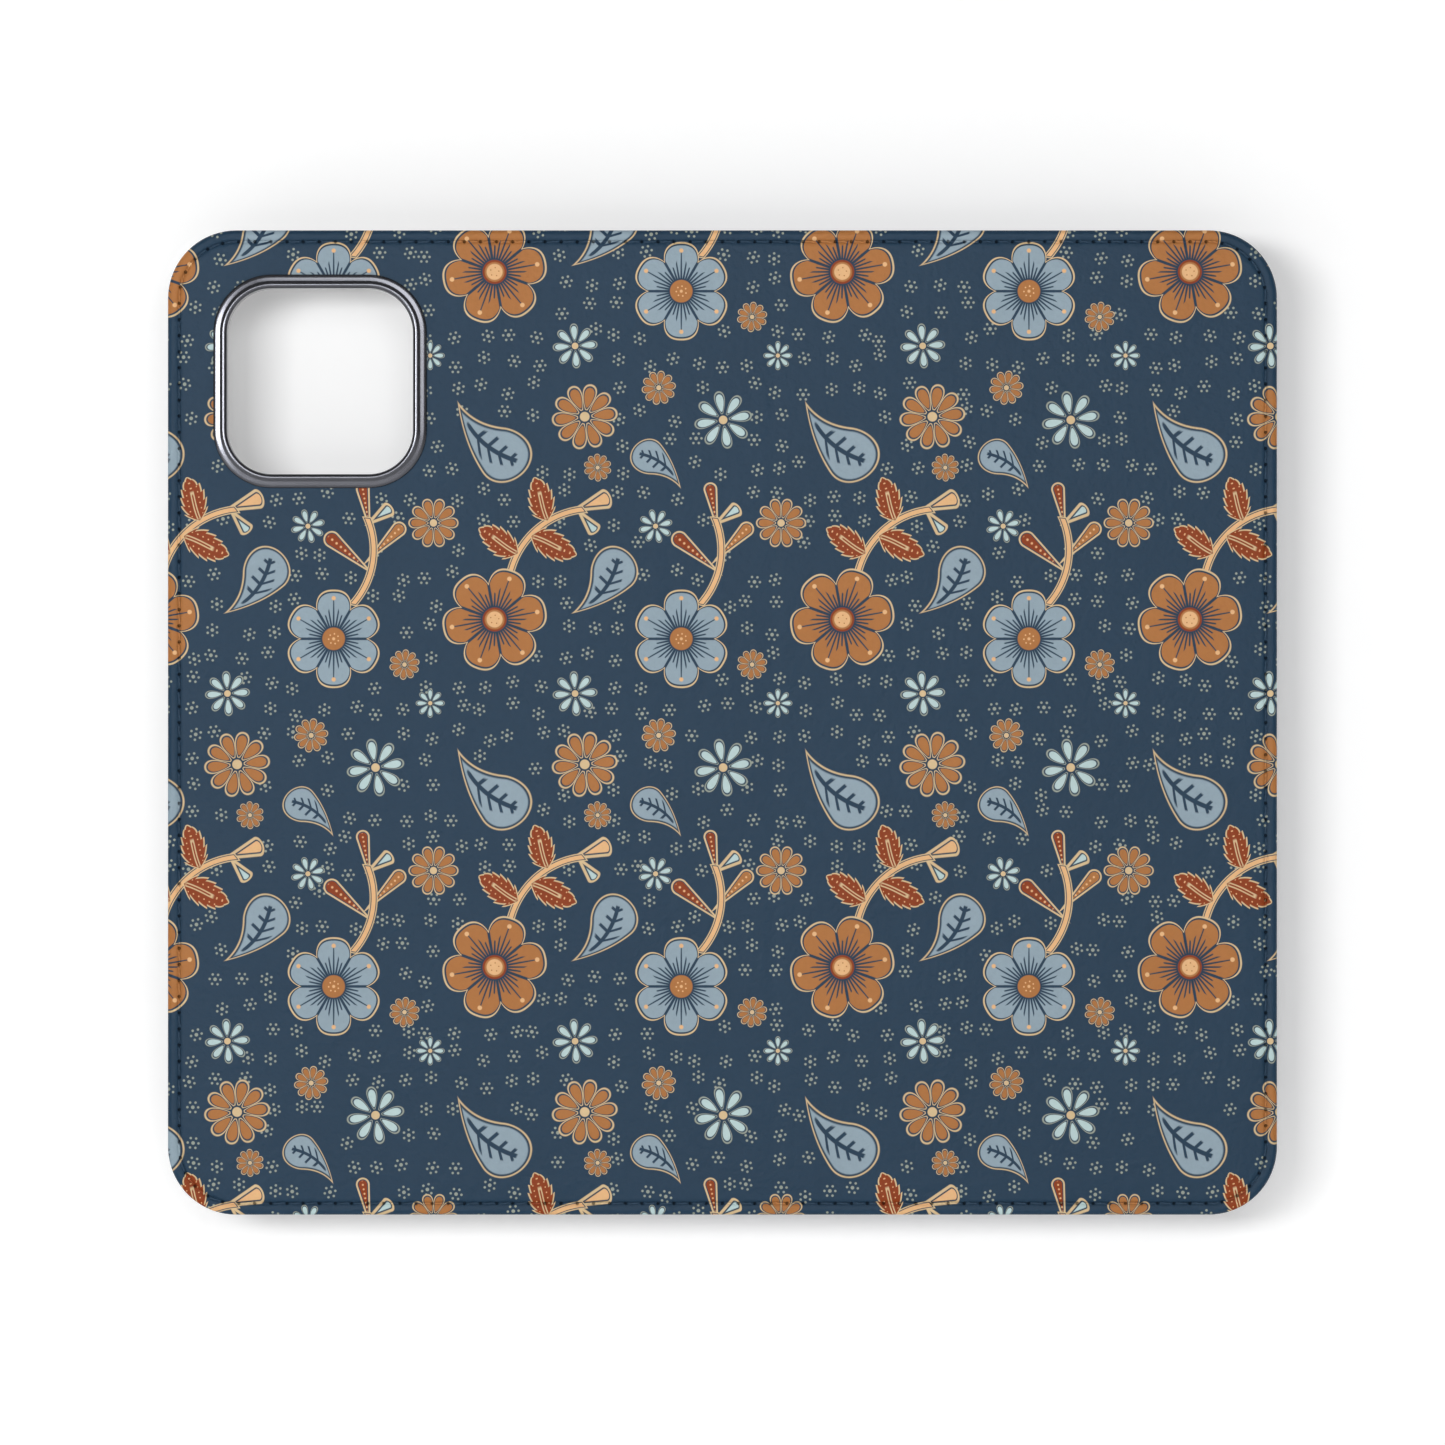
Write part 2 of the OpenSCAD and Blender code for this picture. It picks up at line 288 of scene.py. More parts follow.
def mix(tree, kind, share, first, second):
    """Goes from first to second as share goes from 0 to 1. kind is FLOAT, VECTOR or RGBA."""
    node = tree.nodes.new("ShaderNodeMix")
    node.data_type = kind
    at, out = {"FLOAT": (2, 0), "VECTOR": (4, 1), "RGBA": (6, 2)}[kind]
    feed(tree, node.inputs[0], share)
    feed(tree, node.inputs[at], first)
    feed(tree, node.inputs[at + 1], second)
    return (Spot if kind == "VECTOR" else Term)(tree, node.outputs[out])


def reach(x, y):
    """Distance of a point given by its two parts."""
    return (x * x + y * y).do("SQRT")


# ---------------------------------------------------------------- the floral print

BIG_FLOWERS = [(12.0, 16.0, 10, 8.3, 0), (41.0, 13.0, 30, 7.8, 1)]
RAY_FLOWERS = [(47.5, 47.0, 10, 4.4, 0), (24.5, 4.5, 4, 3.4, 0), (37.0, 30.5, 15, 2.6, 0),
               (2.0, 3.0, 0, 2.2, 0), (26.0, 47.5, 6, 5.0, 1), (2.5, 31.0, 0, 3.8, 1),
               (52.0, 9.0, 12, 2.3, 1), (28.0, 39.6, 20, 2.1, 1), (37.5, 52.0, 8, 2.6, 1)]
VEINED_LEAVES = [(29.5, 21.5, 70, 12.0, 0), (11.0, 43.0, 335, 14.0, 0), (37.5, 40.5, 160, 9.0, 0)]
SAW_LEAVES = [(12.6, 28.2, 150, 3.6, 0), (21.2, 27.5, 340, 3.8, 0), (19.2, 34.7, 110, 3.5, 0)]
DROPS = [(42.8, 26.7, 140, 4.0, 0), (45.9, 34.1, 100, 3.2, 0), (26.6, 31.0, -50, 1.9, 2)]
FRONT_DROPS = [(49.4, 28.3, 45, 3.6, 1), (48.4, 32.3, 35, 2.0, 2), (27.5, 34.1, 20, 2.7, 3)]
STEMS = [((14.5, 23.5), (18.0, 29.5), (25.0, 33.0)), ((44.5, 19.0), (47.0, 24.5), (46.5, 31.0))]
FOOTPRINTS = {"flower": ((0, 0, 1),), "leaf": ((0.2, 0, 0.38), (-0.22, 0.05, 0.24)),
         "saw": ((0, 0, 0.85),), "drop": ((0.2, 0, 0.75),)}
SIXTH = math.pi / 6


def pick(place, spots, repeat):
    """The nearest of some spots (x, z, turn, size, kind): the point seen from it in its own size,
    its kind and its size."""
    tree, best, near, what, big = place.tree, None, None, None, None
    for x, z, turn, size, kind in spots:
        local = place.minus(x, z).wrapped(repeat)
        point = (local.turned(turn) if turn else local).scaled(1 / size)
        far = local.far() - 0.7 * size
        if best is None:
            best, near, what, big = point, far, kind, size
            continue
        closer = far.do("LESS_THAN", near)
        best = mix(tree, "VECTOR", closer, best, point)
        what = mix(tree, "FLOAT", closer, what, kind)
        big = mix(tree, "FLOAT", closer, big, size)
        near = near.low(far)
    return best, what, big


def lined(colour, depth, ink, line, gap, flesh):
    """A shape with an outline: line wide in cream, then gap wide in the ground's colour, in mm."""
    colour = lay(colour, depth.times_plus(14, 0.5, clamp=True), ink.cream)
    colour = lay(colour, depth.times_plus(14, 0.5 - 14 * line, clamp=True), ink.ground)
    return lay(colour, depth.times_plus(14, 0.5 - 14 * (line + gap), clamp=True), flesh)


def lay(colour, mask, ink):
    """Lays an ink over the colour so far where the mask is 1."""
    return mix(mask.tree, "RGBA", mask, colour, ink)


def big_flowers(colour, place, ink, repeat):
    """Two flowers with six round petals, thin strokes, a dot on each petal and a dotted eye."""
    at, blue, _ = pick(place, BIG_FLOWERS, repeat)
    x, y = at.parts()
    far, angle = at.far(), y.do("ARCTAN2", x)
    petal = angle.wrap(SIXTH)
    share = petal.size() / SIXTH
    edge = share * share * share * -0.30 + 0.98
    depth = edge - far
    gap = (1 - share) * far * SIXTH
    colour = lay(colour, depth.times_plus(80, 0.5, clamp=True), ink.cream)
    colour = lay(colour, depth.times_plus(80, -2.2, clamp=True), ink.ground)
    body = (depth - 0.068).low(gap - 0.026).times_plus(80, 0.5, clamp=True)
    flesh = mix(at.tree, "RGBA", blue, ink.orange, ink.blue)
    colour = lay(colour, body, flesh)
    bend = petal + (far - 0.3) * (share - 0.3) * petal * 0.5
    stroke = (bend.wrap(0.087).size() * far).under((1 - far).times_plus(0.020, 0.005), 0.012)
    ends = (far + share * 0.34).under((petal * 13).do("COSINE").times_plus(0.07, 0.74), 0.03)
    colour = lay(colour, stroke * ends * body, ink.ground)
    colour = lay(colour, reach(depth - 0.17, petal * far).under(0.042, 0.015), ink.peach)
    colour = lay(colour, far.under(0.255), ink.ground)
    rim = mix(at.tree, "RGBA", blue, ink.rust, ink.orange)
    colour = lay(colour, far.under(0.225), rim)
    colour = lay(colour, far.under(0.185), ink.orange)
    speck = reach((far - 0.10), (angle.wrap(math.pi / 7)) * far).under(0.016, 0.01)
    eye = mix(at.tree, "FLOAT", blue, far.under(0.15), speck.high(far.under(0.03)))
    colour = lay(colour, eye, ink.peach)
    dust = reach((far - 0.08), (angle.wrap(math.pi / 5)) * far).under(0.012, 0.01)
    return lay(colour, dust * (1 - blue), ink.orange)


def ray_flowers(colour, place, ink, repeat):
    """Aqua daisies with eight petals and orange rosettes with ten."""
    at, rosette, _ = pick(place, RAY_FLOWERS, repeat)
    x, y = at.parts()
    far, angle = at.far(), y.do("ARCTAN2", x)
    petal = angle.wrap(rosette.times_plus(math.pi / 10 - math.pi / 8, math.pi / 8))
    along, across = far * petal.do("COSINE"), far * petal.do("SINE")
    shape = reach((along - 0.6) / 0.4, across / (along * rosette.times_plus(0.04, 0.21) + 0.03))
    line = mix(at.tree, "RGBA", rosette, ink.dots, ink.cream)
    colour = lay(colour, shape.under(1.06, 0.08), line)
    colour = lay(colour, shape.under(0.92, 0.08), ink.ground)
    flesh = mix(at.tree, "RGBA", rosette, ink.aqua, ink.orange)
    colour = lay(colour, shape.under(0.78, 0.08), flesh)
    colour = lay(colour, far.under(0.21), ink.ground)
    return lay(colour, far.under(0.15), ink.cream)


def drop_depth(along, across, length_, small, large):
    """How deep a point lies in a drop with its small end at along 0 and large end at length_."""
    lean = (small - large) / length_
    slope = math.sqrt(1 - lean * lean)
    side = across.size()
    flank = side.times_plus(slope, along * lean) - small
    cap = reach(along - length_, side) - large
    past = (side * -lean + along * slope).do("GREATER_THAN", slope * length_)
    return mix(along.tree, "FLOAT", past, flank, cap) * -1


def veined_leaves(colour, place, ink, repeat):
    """Blue leaves with a bent tip and dark veins."""
    at, _, _ = pick(place, VEINED_LEAVES, repeat)
    x, y = at.parts()
    away = x - 0.2
    bent = y - away * away * (0.52 - 0.25 * x) + 0.03
    depth = drop_depth(x + 0.5, bent, 0.70, 0.006, 0.305)
    colour = lay(colour, depth.times_plus(80, 0.5, clamp=True), ink.cream)
    colour = lay(colour, depth.times_plus(80, -0.9, clamp=True), ink.ground)
    body = depth.times_plus(60, -2.0, clamp=True)
    colour = lay(colour, body, ink.blue)
    rib = bent.size().under(0.026, 0.01) * (x - 0.02).size().under(0.34)
    side = (x + bent.size() * -0.62 + bent * 0.2).wrap(0.072).size().under(0.021, 0.01)
    side = side * bent.size().under((x - 0.45) * -0.28 + 0.04) * (x - 0.08).size().under(0.27)
    return lay(colour, rib.high(side) * depth.times_plus(40, -2.4, clamp=True), ink.ground)


def saw_leaves(colour, place, ink, repeat):
    """Rust leaves with saw teeth, a pale rib and small dots."""
    at, _, size = pick(place, SAW_LEAVES, repeat)
    x, y = at.parts()
    side = (y + (x * 2.2).do("SINE") * 0.06).size()
    teeth = (x * 2.6 - side * 1.2).do("FRACT")
    hull = (1 - x * x).high(0.0).do("POWER", 0.8) * 0.44 * (1 - x * 0.22)
    edge = hull + teeth * 0.13 * x.size().under(0.8, 0.3) - side - (x.size() - 1).high(0.0) * 3
    colour = lay(colour, (edge * size).times_plus(10, 2.3, clamp=True), ink.cream)
    colour = lay(colour, (edge * size).times_plus(10, -0.3, clamp=True), ink.rust)
    dot = reach(x.wrap(0.12), (side - 0.02).wrap(0.12)).under(0.03, 0.02)
    colour = lay(colour, dot * (edge * size).times_plus(10, -3.0, clamp=True), ink.peach)
    rib = side.under(0.085, 0.03) * (x + 0.30).size().under(0.62, 0.1)
    colour = lay(colour, rib, ink.cream)
    return lay(colour, side.under(0.035, 0.02) * (x + 0.35).size().under(0.55, 0.1), ink.rust)


def drops(colour, place, ink, repeat, spots=DROPS):
    """The dotted drops and buds on the stems."""
    at, kind, size = pick(place, spots, repeat)
    x, y = at.parts()
    wide = kind.do("GREATER_THAN", 1.5).times_plus(-0.42, 1.0)
    depth = drop_depth(x + 1, y * wide, 1.68, 0.05, 0.30) * size + 0.1
    tree = at.tree
    flesh = mix(tree, "RGBA", kind.under(1.5), ink.aqua, ink.orange)
    flesh = mix(tree, "RGBA", kind.under(0.5), flesh, ink.rust)
    flesh = mix(tree, "RGBA", kind.under(2.5), ink.peach, flesh)
    colour = lined(colour, depth, ink, 0.26, 0.14, flesh)
    dot = reach(x.wrap(0.11), y).under(0.045, 0.03) * kind.under(1.5)
    return lay(colour, dot * (x - 0.1).size().under(0.75, 0.05), ink.peach)


def front_drops(colour, place, ink, repeat):
    """The drops that lie over the others."""
    return drops(colour, place, ink, repeat, FRONT_DROPS)


def circle_through(a, b, c):
    """Centre and radius of the circle through three points."""
    ax, ay, bx, by, cx, cy = *a, *b, *c
    d = 2 * (ax * (by - cy) + bx * (cy - ay) + cx * (ay - by))
    sa, sb, sc = ax * ax + ay * ay, bx * bx + by * by, cx * cx + cy * cy
    ux = (sa * (by - cy) + sb * (cy - ay) + sc * (ay - by)) / d
    uy = (sa * (cx - bx) + sb * (ax - cx) + sc * (bx - ax)) / d
    return ux, uy, math.hypot(ax - ux, ay - uy)


def stems(colour, place, ink, repeat):
    """Thin curved stems between the flowers and their leaves."""
    near = None
    for first, middle, last in STEMS:
        ux, uy, radius = circle_through(first, middle, last)
        hub = ((first[0] + last[0]) / 2, (first[1] + last[1]) / 2)
        reach_ = math.dist(first, last) / 2 + 0.3
        local = place.minus(*hub).wrapped(repeat)
        line = (local.minus(ux - hub[0], uy - hub[1]).far() - radius).size()
        line = line.high(local.far() - reach_)
        near = line if near is None else near.low(line)
    colour = lay(colour, near.under(0.62, 0.08), ink.cream)
    colour = lay(colour, near.under(0.46, 0.08), ink.ground)
    return lay(colour, near.under(0.33, 0.08), ink.peach)


def taken():
    """Discs (x, z, radius) that hold the motifs, where no dot rosette lies."""
    groups = {"flower": BIG_FLOWERS + RAY_FLOWERS, "leaf": VEINED_LEAVES, "saw": SAW_LEAVES,
              "drop": DROPS + FRONT_DROPS}
    discs = [(x, z, 1.3) for line in STEMS for x, z in line]
    for kind, spots in groups.items():
        for x, z, turn, size, _ in spots:
            c, s = math.cos(math.radians(turn)) * size, math.sin(math.radians(turn)) * size
            discs += [(x + c * a - s * b, z + s * a + c * b, r * size) for a, b, r in FOOTPRINTS[kind]]
    return discs


def dot_rosettes(colour, place, ink, repeat):
    """Small rings of six pale dots on the ground, kept off the motifs."""
    tree, cell = place.tree, repeat / 13
    index = Spot(tree, calc_spot(tree, "FLOOR", place.scaled(1 / cell)))
    chance = tree.nodes.new("ShaderNodeTexWhiteNoise")
    chance.noise_dimensions = "2D"
    feed(tree, chance.inputs["Vector"], index)
    shift = Spot(tree, calc_spot(tree, "MULTIPLY_ADD", Spot(tree, chance.outputs["Color"]),
                                 (0.50, 0.50, 0), (0.25, 0.25, 0)))
    centre = Spot(tree, calc_spot(tree, "ADD", index, shift)).scaled(cell)
    local = Spot(tree, calc_spot(tree, "SUBTRACT", place, centre))
    x, y = local.parts()
    far, angle = local.far(), y.do("ARCTAN2", x) + Term(tree, chance.outputs["Value"]) * 3
    petal = angle.wrap(math.pi / 6)
    dot = reach(far * petal.do("COSINE") - 0.84, far * petal.do("SINE")).low(far - 0.09)
    free = None
    for cx, cy, radius in taken():
        gap = centre.minus(cx, cy).wrapped(repeat).far() - (radius + 0.25)
        free = gap if free is None else free.low(gap)
    return lay(colour, dot.under(0.185, 0.1) * free.do("GREATER_THAN", 0.0), ink.dots)


def floral_print(repeat):
    """A node group that gives the print's colour at a point of the cloth, in millimetres."""
    group = bpy.data.node_groups.new("floral print", "ShaderNodeTree")
    group.interface.new_socket("Place", in_out="INPUT", socket_type="NodeSocketVector")
    group.interface.new_socket("Color", in_out="OUTPUT", socket_type="NodeSocketColor")
    start, end = group.nodes.new("NodeGroupInput"), group.nodes.new("NodeGroupOutput")
    place, ink = Spot(group, start.outputs[0]), colours()
    colour = dot_rosettes(list(ink.ground), place, ink, repeat)
    for layer in (drops, front_drops, stems, saw_leaves, veined_leaves, ray_flowers, big_flowers):
        colour = layer(colour, place, ink, repeat)
    feed(group, end.inputs[0], colour)
    return group


# ---------------------------------------------------------------- materials

def material(name, rough=0.5, metal=0.0):
    """A new material, its node tree and its shader."""
    made = bpy.data.materials.new(name)
    made.use_nodes = True
    shader = made.node_tree.nodes["Principled BSDF"]
    shader.inputs["Roughness"].default_value = rough
    shader.inputs["Metallic"].default_value = metal
    return made, made.node_tree, shader


def cloth_place(tree, layer="print", scale=1.0):
    """The place on a piece's own cloth, in millimetres, from its UV layer."""
    node = tree.nodes.new("ShaderNodeUVMap")
    node.uv_map = layer
    return Spot(tree, node.outputs[0]).scaled(scale)


def object_place(tree):
    """The place in the piece, in millimetres."""
    node = tree.nodes.new("ShaderNodeTexCoord")
    scaled = tree.nodes.new("ShaderNodeVectorMath")
    scaled.operation = "SCALE"
    scaled.inputs["Scale"].default_value = 1000
    tree.links.new(node.outputs["Object"], scaled.inputs[0])
    return Spot(tree, scaled.outputs[0])


def grain(place, scale, detail=2.0, rough=0.5, kind="FBM"):
    """Fine irregular noise with about scale bumps to a millimetre."""
    node = place.tree.nodes.new("ShaderNodeTexNoise")
    node.noise_type = kind
    node.inputs["Scale"].default_value = scale
    node.inputs["Detail"].default_value = detail
    node.inputs["Roughness"].default_value = rough
    feed(place.tree, node.inputs["Vector"], place)
    return Term(place.tree, node.outputs["Fac"])


def pebbles(place, scale, smooth=0.6):
    """Rounded cells with about scale to a millimetre."""
    node = place.tree.nodes.new("ShaderNodeTexVoronoi")
    node.feature = "SMOOTH_F1"
    node.inputs["Scale"].default_value = scale
    node.inputs["Smoothness"].default_value = smooth
    feed(place.tree, node.inputs["Vector"], place)
    return Term(place.tree, node.outputs["Distance"])


def bump(tree, shader, height, depth, strength=1.0):
    """Raises the surface by height times depth metres."""
    node = tree.nodes.new("ShaderNodeBump")
    node.inputs["Strength"].default_value = strength
    node.inputs["Distance"].default_value = depth
    feed(tree, node.inputs["Height"], height)
    tree.links.new(node.outputs["Normal"], shader.inputs["Normal"])


def shade(tree, shader, colour, amount):
    """Colour varied in brightness by amount, a number round 1."""
    node = tree.nodes.new("ShaderNodeMix")
    node.data_type, node.blend_type = "RGBA", "MULTIPLY"
    node.inputs[0].default_value = 1.0
    grey = tree.nodes.new("ShaderNodeCombineColor")
    for socket in grey.inputs:
        feed(tree, socket, amount)
    feed(tree, node.inputs[6], colour)
    tree.links.new(grey.outputs[0], node.inputs[7])
    tree.links.new(node.outputs[2], shader.inputs["Base Color"])


def printed_leather():
    """Printed synthetic leather with a fine pebble grain and needle holes along its seam. Painted shade
    darkens the print in the needle holes and along the seam's groove.
    """
    made, tree, shader = material("printed synthetic leather", rough=0.52)
    repeat = sizes().repeat
    place = cloth_place(tree, scale=repeat)
    group = tree.nodes.new("ShaderNodeGroup")
    group.node_tree = floral_print(repeat)
    feed(tree, group.inputs[0], place)
    cells, fine = pebbles(place, 1.25), grain(place, 3.0, 3.0)
    broad = grain(place, 0.045, 2.0)
    along, inset = cloth_place(tree, "seam").parts()
    hole = reach(along.wrap(0.5) * sizes().pitch, inset - sizes().seam)
    pit = hole.under(0.19, 0.18)
    # painted shade along the seam's groove, which the geometry already sinks
    groove_shade = (inset - sizes().seam).size().under(0.40, 0.5)
    amount = cells * 0.05 + fine * 0.10 + broad * 0.10 + 0.78
    # painted shade: the needle holes and the seam's groove darken the print's colour
    amount = amount * (1 - pit * 0.55) * (1 - groove_shade * 0.10)
    shade(tree, shader, Term(tree, group.outputs[0]), amount)
    height = cells * 0.55 + fine * 0.40 + grain(place, 0.55, 2.0) * 0.9 - pit * 5.0
    bump(tree, shader, height, 0.0001)
    rough = fine.times_plus(0.22, 0.42) + pit * 0.3
    feed(tree, shader.inputs["Roughness"], rough)
    shader.inputs["Specular IOR Level"].default_value = 0.15
    return made


def microfibre():
    """Short brushed microfibre with a soft nap, and painted shade in the needle holes."""
    made, tree, shader = material("brushed microfibre", rough=0.92)
    place = cloth_place(tree, scale=sizes().repeat)
    nap, patches = grain(place.scaled(1.0, 0.45), 4.5, 3.0, 0.7), grain(place, 0.12, 2.0)
    along, inset = cloth_place(tree, "seam").parts()
    pit = reach(along.wrap(0.5) * sizes().pitch, inset - sizes().seam).under(0.25, 0.22)
    # painted shade: the needle holes darken the lining's colour
    shade(tree, shader, list(colours().lining),
          (nap * 0.9 + patches * 0.30 + 0.42) * (1 - pit * 0.7))
    bump(tree, shader, nap + patches * 0.5 - pit * 2.0, 0.00012)
    shader.inputs["Sheen Weight"].default_value = 0.2
    shader.inputs["Sheen Roughness"].default_value = 0.5
    shader.inputs["Specular IOR Level"].default_value = 0.2
    return made


def pocket_leather():
    """Fine-grained synthetic leather of the card pockets."""
    made, tree, shader = material("fine-grained synthetic leather")
    place = cloth_place(tree, scale=sizes().repeat)
    cells, fine = pebbles(place, 1.7, 0.4), grain(place, 4.0, 3.0)
    broad = grain(place, 0.08)
    shade(tree, shader, list(colours().pocket), cells * 0.45 + fine * 0.25 + broad * 0.2 + 0.55)
    bump(tree, shader, cells + fine * 0.4, 0.00016)
    feed(tree, shader.inputs["Roughness"], fine.times_plus(0.25, 0.38))
    return made


def sewing_thread():
    """Two-ply polyester thread, with painted shade in stripes along the twist."""
    made, tree, shader = material("polyester thread", rough=0.6)
    along, round_ = cloth_place(tree, "print").parts()
    twist = ((along * 2.4 + round_) * math.tau).do("SINE")
    fuzz = grain(object_place(tree), 9.0, 2.0)
    # painted shade: the twist darkens the colour in stripes between the plies
    shade(tree, shader, list(colours().thread), twist * 0.16 + fuzz * 0.3 + 0.80)
    bump(tree, shader, twist * 0.5 + fuzz * 0.3, 0.00004)
    shader.inputs["Sheen Weight"].default_value = 0.25
    return made


def printed_thread(print_group):
    """The outer seam's thread, which the print runs over, with painted shade in stripes along the
    twist.
    """
    made, tree, shader = material("printed thread", rough=0.6)
    group = tree.nodes.new("ShaderNodeGroup")
    group.node_tree = print_group
    feed(tree, group.inputs[0], cloth_place(tree, "seam", sizes().repeat))
    along, round_ = cloth_place(tree, "print").parts()
    twist = ((along * 2.4 + round_) * math.tau).do("SINE")
    # painted shade: the twist darkens the print's colour in stripes between the plies
    shade(tree, shader, Term(tree, group.outputs[0]), twist * 0.07 + 0.93)
    bump(tree, shader, twist, 0.00003)
    shader.inputs["Specular IOR Level"].default_value = 0.3
    return made


def polished_bezel():
    """Dark polished bezel with fine turning marks."""
    made, tree, shader = material("polished bezel", metal=0.85)
    place = object_place(tree)
    smear, fine = grain(place, 0.25, 2.0), grain(place, 6.0, 2.0)
    shade(tree, shader, list(colours().bezel), smear * 0.14 + fine * 0.06 + 0.88)
    feed(tree, shader.inputs["Roughness"], smear.times_plus(0.08, 0.17))
    bump(tree, shader, fine, 0.0000002)
    shader.inputs["Coat Weight"].default_value = 0.3
    shader.inputs["Coat Roughness"].default_value = 0.1
    return made


def soft_plastic(name, tone, rough, depth):
    """Moulded plastic with a fine spark-eroded texture."""
    made, tree, shader = material(name)
    place = object_place(tree)
    fine, broad = grain(place, 6.0, 2.0), grain(place, 0.06, 2.0)
    shade(tree, shader, tone, fine * 0.18 + broad * 0.22 + 0.80)
    bump(tree, shader, fine, depth)
    feed(tree, shader.inputs["Roughness"], (fine * 0.16 + broad * 0.14) + (rough - 0.15))
    return made


def liner_cloth():
    """Brushed liner under the phone."""
    made, tree, shader = material("brushed liner", rough=0.95)
    place = object_place(tree)
    node = tree.nodes.new("ShaderNodeMapping")
    node.inputs["Scale"].default_value = (1.0, 1.0, 0.35)
    feed(tree, node.inputs["Vector"], place)
    nap, patches = grain(Spot(tree, node.outputs[0]), 4.0, 3.0, 0.7), grain(place, 0.09)
    shade(tree, shader, list(colours().liner), nap * 0.9 + patches * 0.22 + 0.44)
    bump(tree, shader, nap, 0.00015)
    shader.inputs["Sheen Weight"].default_value = 0.4
    return made


def greyboard():
    """Pressed grey board."""
    made, tree, shader = material("pressed grey board", rough=0.9)
    place = object_place(tree)
    fibres, specks = grain(place, 1.4, 4.0, 0.7), grain(place, 7.0, 1.0)
    shade(tree, shader, code("8B8984"), fibres * 0.3 + specks * 0.2 + 0.72)
    bump(tree, shader, fibres, 0.0001)
    return made


def brushed_metal(name, tone, rough):
    """Thin rolled metal with fine lines."""
    made, tree, shader = material(name, metal=1.0)
    place = object_place(tree)
    node = tree.nodes.new("ShaderNodeMapping")
    node.inputs["Scale"].default_value = (6.0, 6.0, 0.2)
    feed(tree, node.inputs["Vector"], place)
    lines = grain(Spot(tree, node.outputs[0]), 2.0, 3.0)
    shade(tree, shader, tone, lines * 0.25 + 0.85)
    bump(tree, shader, lines, 0.00001)
    feed(tree, shader.inputs["Roughness"], lines.times_plus(0.2, rough))
    return made


# ---------------------------------------------------------------- mesh building

def smooth(low, high, value):
    """Goes gently from 0 at low to 1 at high."""
    t = min(max((value - low) / (high - low), 0), 1)
    return t * t * (3 - 2 * t)


def spread(start, stop, step):
    """Even places from start to stop, at most step apart."""
    count = max(1, math.ceil(abs(stop - start) / step - 1e-9))
    return [start + (stop - start) * i / count for i in range(count + 1)]


def rim_pairs(width, tall, ring, corner, columns, rows, steps, closed):
    """Places round a panel's outline, each with the place of the inner field's border."""
    pairs = []
    last_c, last_r = len(columns) - 1, len(rows) - 1

    def turn(cx, cz, start, field):
        ends = (0, steps) if corner < ring - 1e-6 else (1, steps - 1)
        for k in range(ends[0], ends[1] + 1):
            a = math.radians(start - 90 * k / steps)
            pairs.append(((cx + corner * math.cos(a), cz + corner * math.sin(a)), field))

    for i in range(last_c, -1, -1):
        pairs.append(((columns[i], -tall), (i, 0)))
    turn(corner, -tall + corner, -90, (0, 0))
    for j in range(last_r + 1):
        pairs.append(((0, rows[j]), (0, j)))
    turn(corner, tall - corner, 180, (0, last_r))
    for i in range(last_c + 1):
        pairs.append(((columns[i], tall), (i, last_r)))
    if closed:
        turn(width - corner, tall - corner, 90, (last_c, last_r))
        for j in range(last_r, -1, -1):
            pairs.append(((width, rows[j]), (last_c, j)))
        turn(width - corner, -tall + corner, 0, (last_c, 0))
    return pairs


def panel_layout(width, tall, ring, corner, levels, columns, rows, steps=14, closed=False):
    """Flat places and faces of a panel: loops that follow its rim round an inner field."""
    pairs = rim_pairs(width, tall, ring, corner, columns, rows, steps, closed)
    spots = [(u, z) for u in columns for z in rows]
    field = {(i, j): i * len(rows) + j for i in range(len(columns)) for j in range(len(rows))}
    loops = []
    for level in levels:
        t, loop = level / ring, []
        for (u, z), (i, j) in pairs:
            loop.append(len(spots))
            spots.append((u + (columns[i] - u) * t, z + (rows[j] - z) * t))
        loops.append(loop)
    loops.append([field[f] for _, f in pairs])
    faces = [(field[i, j], field[i + 1, j], field[i + 1, j + 1], field[i, j + 1])
             for i in range(len(columns) - 1) for j in range(len(rows) - 1)]
    count = len(pairs) if closed else len(pairs) - 1
    for outer, inner in zip(loops, loops[1:]):
        for k in range(count):
            n = (k + 1) % len(pairs)
            ring_face = [outer[k], outer[n], inner[n], inner[k]]
            ring_face = [v for i, v in enumerate(ring_face) if v != ring_face[i - 1]]
            if len(ring_face) > 2:
                faces.append(tuple(ring_face))
    return spots, faces


def rim_depth(u, z, width, tall, corner, closed=False):
    """Distance from a panel's outline, inwards."""
    side = min(u, width - u) if closed else u
    qx, qz = corner - side, corner - (tall - abs(z))
    if qx > 0 and qz > 0:
        return max(corner - math.hypot(qx, qz), 0.0)
    return max(min(side, tall - abs(z)), 0.0)


def new_piece(name, verts, faces, uvs=()):
    """A mesh object from places in millimetres. uvs holds a layer's name and a pair for each vertex."""
    mesh = bpy.data.meshes.new(name)
    mesh.from_pydata([Vector(v) * MM for v in verts], [], faces)
    for layer, pairs in uvs:
        data = mesh.uv_layers.new(name=layer).data
        for loop in mesh.loops:
            data[loop.index].uv = pairs[loop.vertex_index]
    made = bmesh.new()
    made.from_mesh(mesh)
    bmesh.ops.recalc_face_normals(made, faces=made.faces)
    made.to_mesh(mesh)
    made.free()
    piece = bpy.data.objects.new(name, mesh)
    bpy.context.scene.collection.objects.link(piece)
    return piece


def shade_smooth(piece, degrees=40):
    """Smooth shading with sharp edges kept where the surface turns by more than some degrees."""
    piece.data.shade_smooth()
    piece.data.set_sharp_from_angle(angle=math.radians(degrees))


